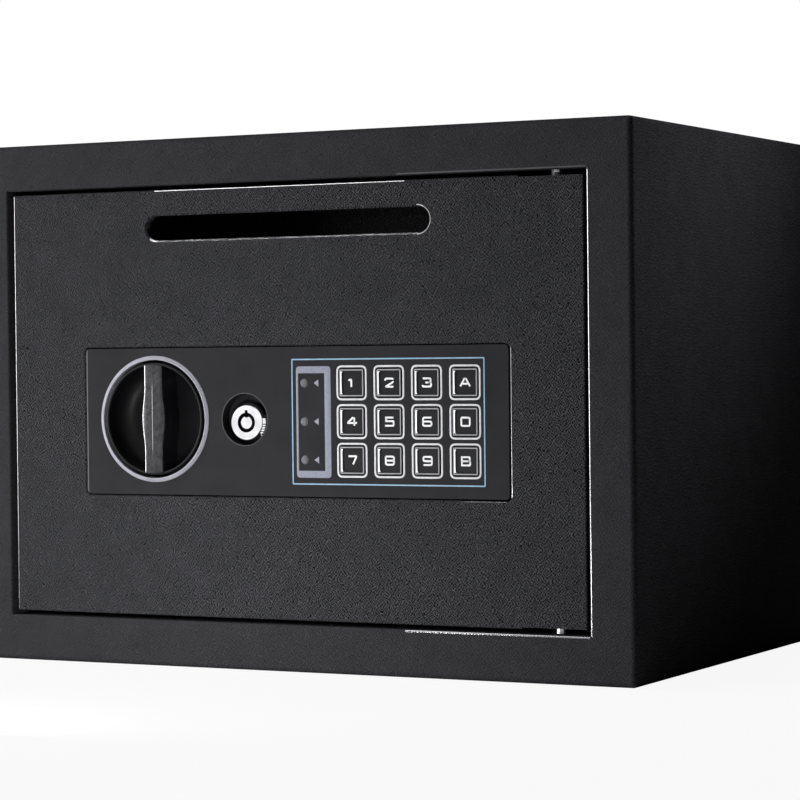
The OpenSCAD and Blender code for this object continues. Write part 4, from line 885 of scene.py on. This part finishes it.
GLINT_FROM_X = KNOB_X - 2.0


def arc(x, y, radius, first, last, steps=9):
    """Points of a circle's arc from angle first to angle last, in degrees."""
    turn = np.radians(np.linspace(first, last, steps))
    return np.column_stack([x + radius * np.cos(turn), y + radius * np.sin(turn)])


def turned(profile, x, z, sides=128):
    """Surface turned round an axis that runs into the safe: a profile of radius and depth at each
    angle of a full turn."""
    outline = np.asarray(profile, float)
    angle = np.linspace(0, 2 * np.pi, sides, endpoint=False)[None, :]
    radius, depth = outline[:, :1], outline[:, 1:]
    points = np.dstack([x + radius * np.cos(angle), FRONT + depth + 0 * angle,
                        z + radius * np.sin(angle)])
    return points, grid_faces(len(outline), sides, ring=True)


def knob_grip():
    """Grip bar: at each share of its length the half width is that of the ends plus a cosine
    swell, and across it run wall, rounded edge, sloping flank with a soft crest, edge and wall.
    The flank is a hyperbola that falls off by a square near its edge, less a narrow bell for the
    ridge. The ends lie on a circle a little outside the wall of the dish."""
    share = np.linspace(-1, 1, GRIP_STEPS)
    swell = 1 + np.cos(np.pi * np.minimum(1, np.abs(share) / GRIP_SHARE))
    half = GRIP_END + GRIP_SWELL / 2 * swell
    even = np.linspace(-1, 1, GRIP_ACROSS)
    cross = np.sign(even) * np.abs(even) ** GRIP_GATHER
    flank_x = cross[None, :] * (half[:, None] - GRIP_EDGE)
    flank_y = GRIP_TOP + GRIP_SLOPE * (np.sqrt(flank_x ** 2 + GRIP_CREST ** 2) - GRIP_CREST)
    flank_y = flank_y + FLANK_FALL * np.maximum(0, np.abs(flank_x) - FLANK_FLAT) ** 2
    ridge = RIDGE_H * np.clip(RIDGE_FADE * (RIDGE_SHARE - np.abs(share)), 0, 1)[:, None]
    flank_y = flank_y + RIDGE_H - ridge * np.exp(-(flank_x / RIDGE_W) ** 2 / 2)
    lean = np.radians(np.linspace(180, GRIP_EDGE_LEAN, GRIP_EDGE_STEPS))[None, :]
    left_x = -half[:, None] + GRIP_EDGE + GRIP_EDGE * np.cos(lean)
    edge_y = flank_y[:, :1] + GRIP_EDGE - GRIP_EDGE * np.sin(lean)
    depth = np.linspace(1, 0, GRIP_WALL_STEPS)[None, :-1]
    wall_y = edge_y[:, :1] + (GRIP_FOOT - edge_y[:, :1]) * depth
    wall_x = -half[:, None] + 0 * wall_y
    x = np.hstack([wall_x, left_x, flank_x[:, 1:-1], -left_x[:, ::-1], -wall_x[:, ::-1]])
    y = np.hstack([wall_y, edge_y, flank_y[:, 1:-1], edge_y[:, ::-1], wall_y[:, ::-1]])
    z = share[:, None] * np.sqrt(GRIP_REACH ** 2 - x ** 2)
    points = np.dstack([KNOB_X + x, FRONT + y, KNOB_Z + z])
    count = points.shape[1]
    faces = grid_faces(len(share), count, ring=True).tolist()
    faces.append(list(range(count)))
    faces.append([(len(share) - 1) * count + i for i in range(count)])
    return points, faces


def face_values(mesh, name):
    """Three numbers a face, such as its normal or its centre."""
    values = np.empty(3 * len(mesh.polygons))
    mesh.polygons.foreach_get(name, values)
    return values.reshape(-1, 3)


knob_profile = np.vstack([
    [[0, DISH_FLOOR], [DISH_FLAT, DISH_FLOOR]],
    arc(DISH_R - DISH_ROUND, DISH_FLOOR - DISH_ROUND, DISH_ROUND, 90, 0, 17),
    [[DISH_R, wall] for wall in DISH_WALL],
    arc(DISH_R + RIM_ROUND, RIM_TOP + RIM_ROUND, RIM_ROUND, 180, 270, 6),
    arc(KNOB_R - RIM_ROUND, RIM_TOP + RIM_ROUND, RIM_ROUND, 270, 360, 6),
    [[KNOB_R, SKIRT_TOP], [KNOB_R, KNOB_BACK - BACK_SLOPE], [KNOB_R - BACK_SLOPE, KNOB_BACK],
     [HUB_R, KNOB_BACK], [HUB_R, HUB_BACK], [BORE_R, HUB_BACK], [BORE_R, BORE_FRONT],
     [0, BORE_FRONT]],
])
knob_plastic = coated("knob plastic", KNOB_DARK, KNOB_LIGHT, blotch=7.0, peel=0.5, height=0.006,
                      rough=0.42, specular=0.1)
grip_plastic = coated("worn grip plastic", GRIP_DARK, GRIP_LIGHT, blotch=2.2, peel=0.4, height=0.01,
                      rough=0.22, specular=0.38)
grip_glint = coated("grip edge glint", GRIP_GLINT_DARK, GRIP_GLINT_LIGHT, blotch=3.0, peel=0.4, height=0.01,
                   rough=0.3, specular=0.5, metal=1.0)
brass = coated("turned brass", dark=(176, 142, 78), light=(202, 168, 98), blotch=3.0, peel=0.5,
               height=0.004, rough=0.28, specular=0.5, metal=1.0)
knob_cup = new_piece("knob_cup", [turned(knob_profile, KNOB_X, KNOB_Z)], knob_plastic, "knob",
                     sharp=40)
knob_bar = new_piece("knob_grip", [knob_grip()], grip_plastic, "knob", sharp=50)
# Painted highlight: faces at the grip's left edge that face left and forward take a bright metal
# finish for its glint.
knob_bar.data.materials.append(grip_glint)
facing = face_values(knob_bar.data, "normal")
centre = face_values(knob_bar.data, "center")
worn = (facing[:, 0] < GLINT_FACING_LEFT) & (facing[:, 1] < GLINT_FACING_FRONT) & (centre[:, 0] < GLINT_FROM_X * MM)
knob_bar.data.polygons.foreach_set("material_index", worn.astype(int))
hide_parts("knob")
dress(turned_steel, "knob_shaft", "drive_cam")
dress(brass, "shaft_bush")


# --- Bolt work ---
# Zinc plated plate and carriage, turned steel posts and two ground steel bolts. The carriage
# slides on the posts and its slot takes the pin of the knob's cam.

bright_steel = coated("ground steel", dark=(176, 176, 180), light=(206, 206, 210), blotch=3.0,
                      peel=0.4, height=0.004, rough=0.24, specular=0.5, metal=1.0,
                      stretch=(8, 1, 1))
dress(zinc, "mechanism_plate", "bolt_carriage")
dress(turned_steel, "carriage_posts")
dress(bright_steel, "bolt_upper", "bolt_lower")


# --- Solenoid ---
# Folded steel frame round a copper winding, with a steel plunger. Its return spring is wound wire
# between the plunger's collar and the frame, which on the lock shortens from below as the plunger
# lifts; here it is wound at one length.

SPRING_TURNS = 6
SPRING_STEPS = 24
SPRING_WIRE = 0.35
SPRING_SIDES = 12

copper = coated("enamelled copper", dark=(120, 62, 34), light=(156, 88, 50), blotch=1.2, peel=0.35,
                height=0.05, rough=0.32, specular=0.5, metal=0.8, stretch=(6, 6, 1))
dress(zinc, "solenoid_frame")
dress(copper, "solenoid_coil")
dress(bright_steel, "solenoid_plunger", "plunger_spring")
spring_low, spring_high = (np.array(corner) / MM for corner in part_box("plunger_spring"))


def return_spring():
    """Wire along a helix that climbs evenly inside the spring's box. Round its middle, the section
    is a circle of points in the upright plane through the spring's axis."""
    centre = (spring_low + spring_high) / 2
    turn = np.linspace(0, 2 * np.pi * SPRING_TURNS, SPRING_STEPS * SPRING_TURNS + 1)[:, None]
    climb = np.linspace(spring_low[2] + SPRING_WIRE, spring_high[2] - SPRING_WIRE, len(turn))
    around = np.linspace(0, 2 * np.pi, SPRING_SIDES + 1)[None, :-1]
    radius = spring_high[0] - centre[0] - SPRING_WIRE + SPRING_WIRE * np.cos(around)
    points = np.dstack([centre[0] + radius * np.cos(turn), centre[1] + radius * np.sin(turn),
                        climb[:, None] + SPRING_WIRE * np.sin(around)])
    last = SPRING_SIDES * (len(turn) - 1)
    ends = [list(range(SPRING_SIDES)), list(range(last, last + SPRING_SIDES))]
    return points, list(grid_faces(len(turn), SPRING_SIDES, ring=True)) + ends


spring = new_piece("return_spring", [return_spring()], bright_steel, "door", sharp=40)
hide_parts("plunger_spring")
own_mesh(spring)


# --- Inner cover ---
# Black moulded cover over the lock works, held by four screws, with the battery box and its sliding
# cover, the ribbon cable and the red reset button.

cover_plastic = coated("cover plastic", dark=(36, 36, 39), light=(42, 42, 45), blotch=12.0,
                       peel=0.5, height=0.02, rough=0.5, specular=0.25)
lid_plastic = coated("battery cover plastic", dark=(46, 46, 50), light=(52, 52, 56), blotch=12.0,
                     peel=0.5, height=0.02, rough=0.5, specular=0.25)
red_plastic = coated("red plastic", dark=(168, 30, 28), light=(190, 40, 36), blotch=2.0, peel=0.4,
                     height=0.006, rough=0.35, specular=0.4)
cell_wrap = coated("cell sleeve", dark=(150, 120, 60), light=(176, 142, 78), blotch=6.0, peel=1.0,
                   height=0.01, rough=0.3, specular=0.5)
cable_grey = coated("cable sleeve", dark=(118, 120, 126), light=(136, 138, 144), blotch=2.0,
                    peel=0.8, height=0.02, rough=0.5, specular=0.35, stretch=(1, 12, 1))
dress(cover_plastic, "inner_cover")
dress(lid_plastic, "battery_cover")
dress(black_plastic, "battery_box", "reset_switch")
dress(cell_wrap, "batteries")
dress(cable_grey, "ribbon_cable")
dress(red_plastic, "reset_button")
dress(turned_steel, "cover_posts")
dress(zinc, "cover_screws")


# --- Floor, light and camera ---
# Plain pale floor and a white surround that lights softly from the left. Six soft square lamps
# stand on the left, overhead, in front, beside and behind. The camera stands where the photo was
# taken.

WORLD_LEFT = 0.4
WORLD_RIGHT = 0.0
WORLD_FADE = (-0.7, 0.35)
FLOOR_HALF = 9.0
FLOOR_LOW = -0.0002
FLOOR_TONE = 0.5
FLOOR_WHITE = 0.92
LAMPS = [
    # name, place, point that it faces, side of the square, watts, spread in degrees
    ("key lamp", (-0.87, -0.66, 0.16), (0, -0.12, 0.1), 0.5, 12.5, 180),
    ("top lamp", (-0.5, -0.4, 1.2), (0, 0, 0.12), 0.6, 3.7, 180),
    ("front lamp", (-0.68, -0.7, 1.03), (0, -0.1, 0.12), 0.4, 3.0, 180),
    ("low lamp", (-0.03, -0.36, 0.02), (-0.02, -0.12, 0.02), 0.05, 0.42, 180),
    ("side lamp", (0.5, 0.3, 0.45), (0.18, -0.06, 0.25), 0.1, 0.14, 40),
    ("back lamp", (-0.15, 1.1, 0.5), (-0.05, 0.12, 0.12), 0.5, 5.0, 180),
]
CAMERA_PLACE = (0.65989, -1.30048, 0.14873)
CAMERA_YAW, CAMERA_PITCH, CAMERA_ROLL = np.radians([27.998, -0.968, -0.632])
CAMERA_SENSOR = 36.0
CAMERA_LENS = 130.96
CAMERA_SHIFT = 0.0625
CAMERA_CLIP = (0.05, 50)


def new_lamp(name, place, target, size, power, spread):
    """Square area lamp at place that faces target, in metres and watts, with its light kept within
    a spread of degrees."""
    data = bpy.data.lights.new(name, "AREA")
    data.spread = math.radians(spread)
    data.size = size
    data.energy = power
    lamp = bpy.data.objects.new(name, data)
    lamp.location = place
    lamp.rotation_mode = "QUATERNION"
    lamp.rotation_quaternion = (Vector(target) - Vector(place)).to_track_quat("-Z", "Y")
    bpy.context.scene.collection.objects.link(lamp)


def background_ray(tree):
    """1 for rays from the camera, for mirrored rays and for rays through glass."""
    path = tree.nodes.new("ShaderNodeLightPath")
    seen = joined(tree, "MAXIMUM", path.outputs["Is Camera Ray"], path.outputs["Is Glossy Ray"])
    return joined(tree, "MAXIMUM", seen, path.outputs["Is Transmission Ray"])


world = bpy.data.worlds.new("surround")
bpy.context.scene.world = world
world.use_nodes = True
world_tree = world.node_tree
soft = world_tree.nodes["Background"]
soft.inputs["Color"].default_value = (1, 1, 1, 1)
world_place = world_tree.nodes.new("ShaderNodeTexCoord")
world_parts = world_tree.nodes.new("ShaderNodeSeparateXYZ")
world_fade = world_tree.nodes.new("ShaderNodeMapRange")
world_fade.inputs["From Min"].default_value = WORLD_FADE[0]
world_fade.inputs["From Max"].default_value = WORLD_FADE[1]
world_fade.inputs["To Min"].default_value = WORLD_LEFT
world_fade.inputs["To Max"].default_value = WORLD_RIGHT
world_tree.links.new(world_place.outputs["Generated"], world_parts.inputs["Vector"])
world_tree.links.new(world_parts.outputs["X"], world_fade.inputs["Value"])
world_tree.links.new(world_fade.outputs["Result"], soft.inputs["Strength"])
white = world_tree.nodes.new("ShaderNodeBackground")
white.inputs["Color"].default_value = (1, 1, 1, 1)
white.inputs["Strength"].default_value = 1.0
choose = world_tree.nodes.new("ShaderNodeMixShader")
world_tree.links.new(background_ray(world_tree), choose.inputs["Fac"])
world_tree.links.new(soft.outputs["Background"], choose.inputs[1])
world_tree.links.new(white.outputs["Background"], choose.inputs[2])
world_tree.links.new(choose.outputs["Shader"], world_tree.nodes["World Output"].inputs["Surface"])

floor_mesh = bpy.data.meshes.new("floor")
floor_mesh.from_pydata([(x * FLOOR_HALF, y * FLOOR_HALF, FLOOR_LOW)
                        for x, y in ((-1, -1), (1, -1), (1, 1), (-1, 1))], [], [(0, 1, 2, 3)])
floor = bpy.data.objects.new("floor", floor_mesh)
bpy.context.scene.collection.objects.link(floor)
pale, pale_tree, pale_shader = new_finish("pale floor", rough=0.9, specular=0.1)
pale_shader.inputs["Base Color"].default_value = (FLOOR_TONE, FLOOR_TONE, FLOOR_TONE, 1)
glow = pale_tree.nodes.new("ShaderNodeEmission")
glow.inputs["Strength"].default_value = 1.0
share = pale_tree.nodes.new("ShaderNodeMath")
share.operation = "MULTIPLY"
share.inputs[1].default_value = FLOOR_WHITE
pale_tree.links.new(background_ray(pale_tree), share.inputs[0])
blend_floor = pale_tree.nodes.new("ShaderNodeMixShader")
pale_tree.links.new(share.outputs["Value"], blend_floor.inputs["Fac"])
pale_tree.links.new(pale_shader.outputs["BSDF"], blend_floor.inputs[1])
pale_tree.links.new(glow.outputs["Emission"], blend_floor.inputs[2])
pale_output = pale_tree.nodes["Material Output"]
pale_tree.links.new(blend_floor.outputs["Shader"], pale_output.inputs["Surface"])
floor_mesh.materials.append(pale)

for lamp in LAMPS:
    new_lamp(*lamp)

forward = np.array([-math.sin(CAMERA_YAW) * math.cos(CAMERA_PITCH),
                    math.cos(CAMERA_YAW) * math.cos(CAMERA_PITCH), math.sin(CAMERA_PITCH)])
level = np.array([math.cos(CAMERA_YAW), math.sin(CAMERA_YAW), 0])
upright = np.cross(level, forward)
right = math.cos(CAMERA_ROLL) * level + math.sin(CAMERA_ROLL) * upright
upward = -math.sin(CAMERA_ROLL) * level + math.cos(CAMERA_ROLL) * upright
camera_data = bpy.data.cameras.new("camera")
camera_data.sensor_width = CAMERA_SENSOR
camera_data.lens = CAMERA_LENS
camera_data.shift_x = CAMERA_SHIFT
camera_data.clip_start, camera_data.clip_end = CAMERA_CLIP
camera = bpy.data.objects.new("camera", camera_data)
camera.matrix_world = Matrix(np.column_stack([right, upward, -forward]).tolist()).to_4x4()
camera.location = CAMERA_PLACE
bpy.context.scene.collection.objects.link(camera)
bpy.context.scene.camera = camera
bpy.context.scene.view_settings.view_transform = "Standard"
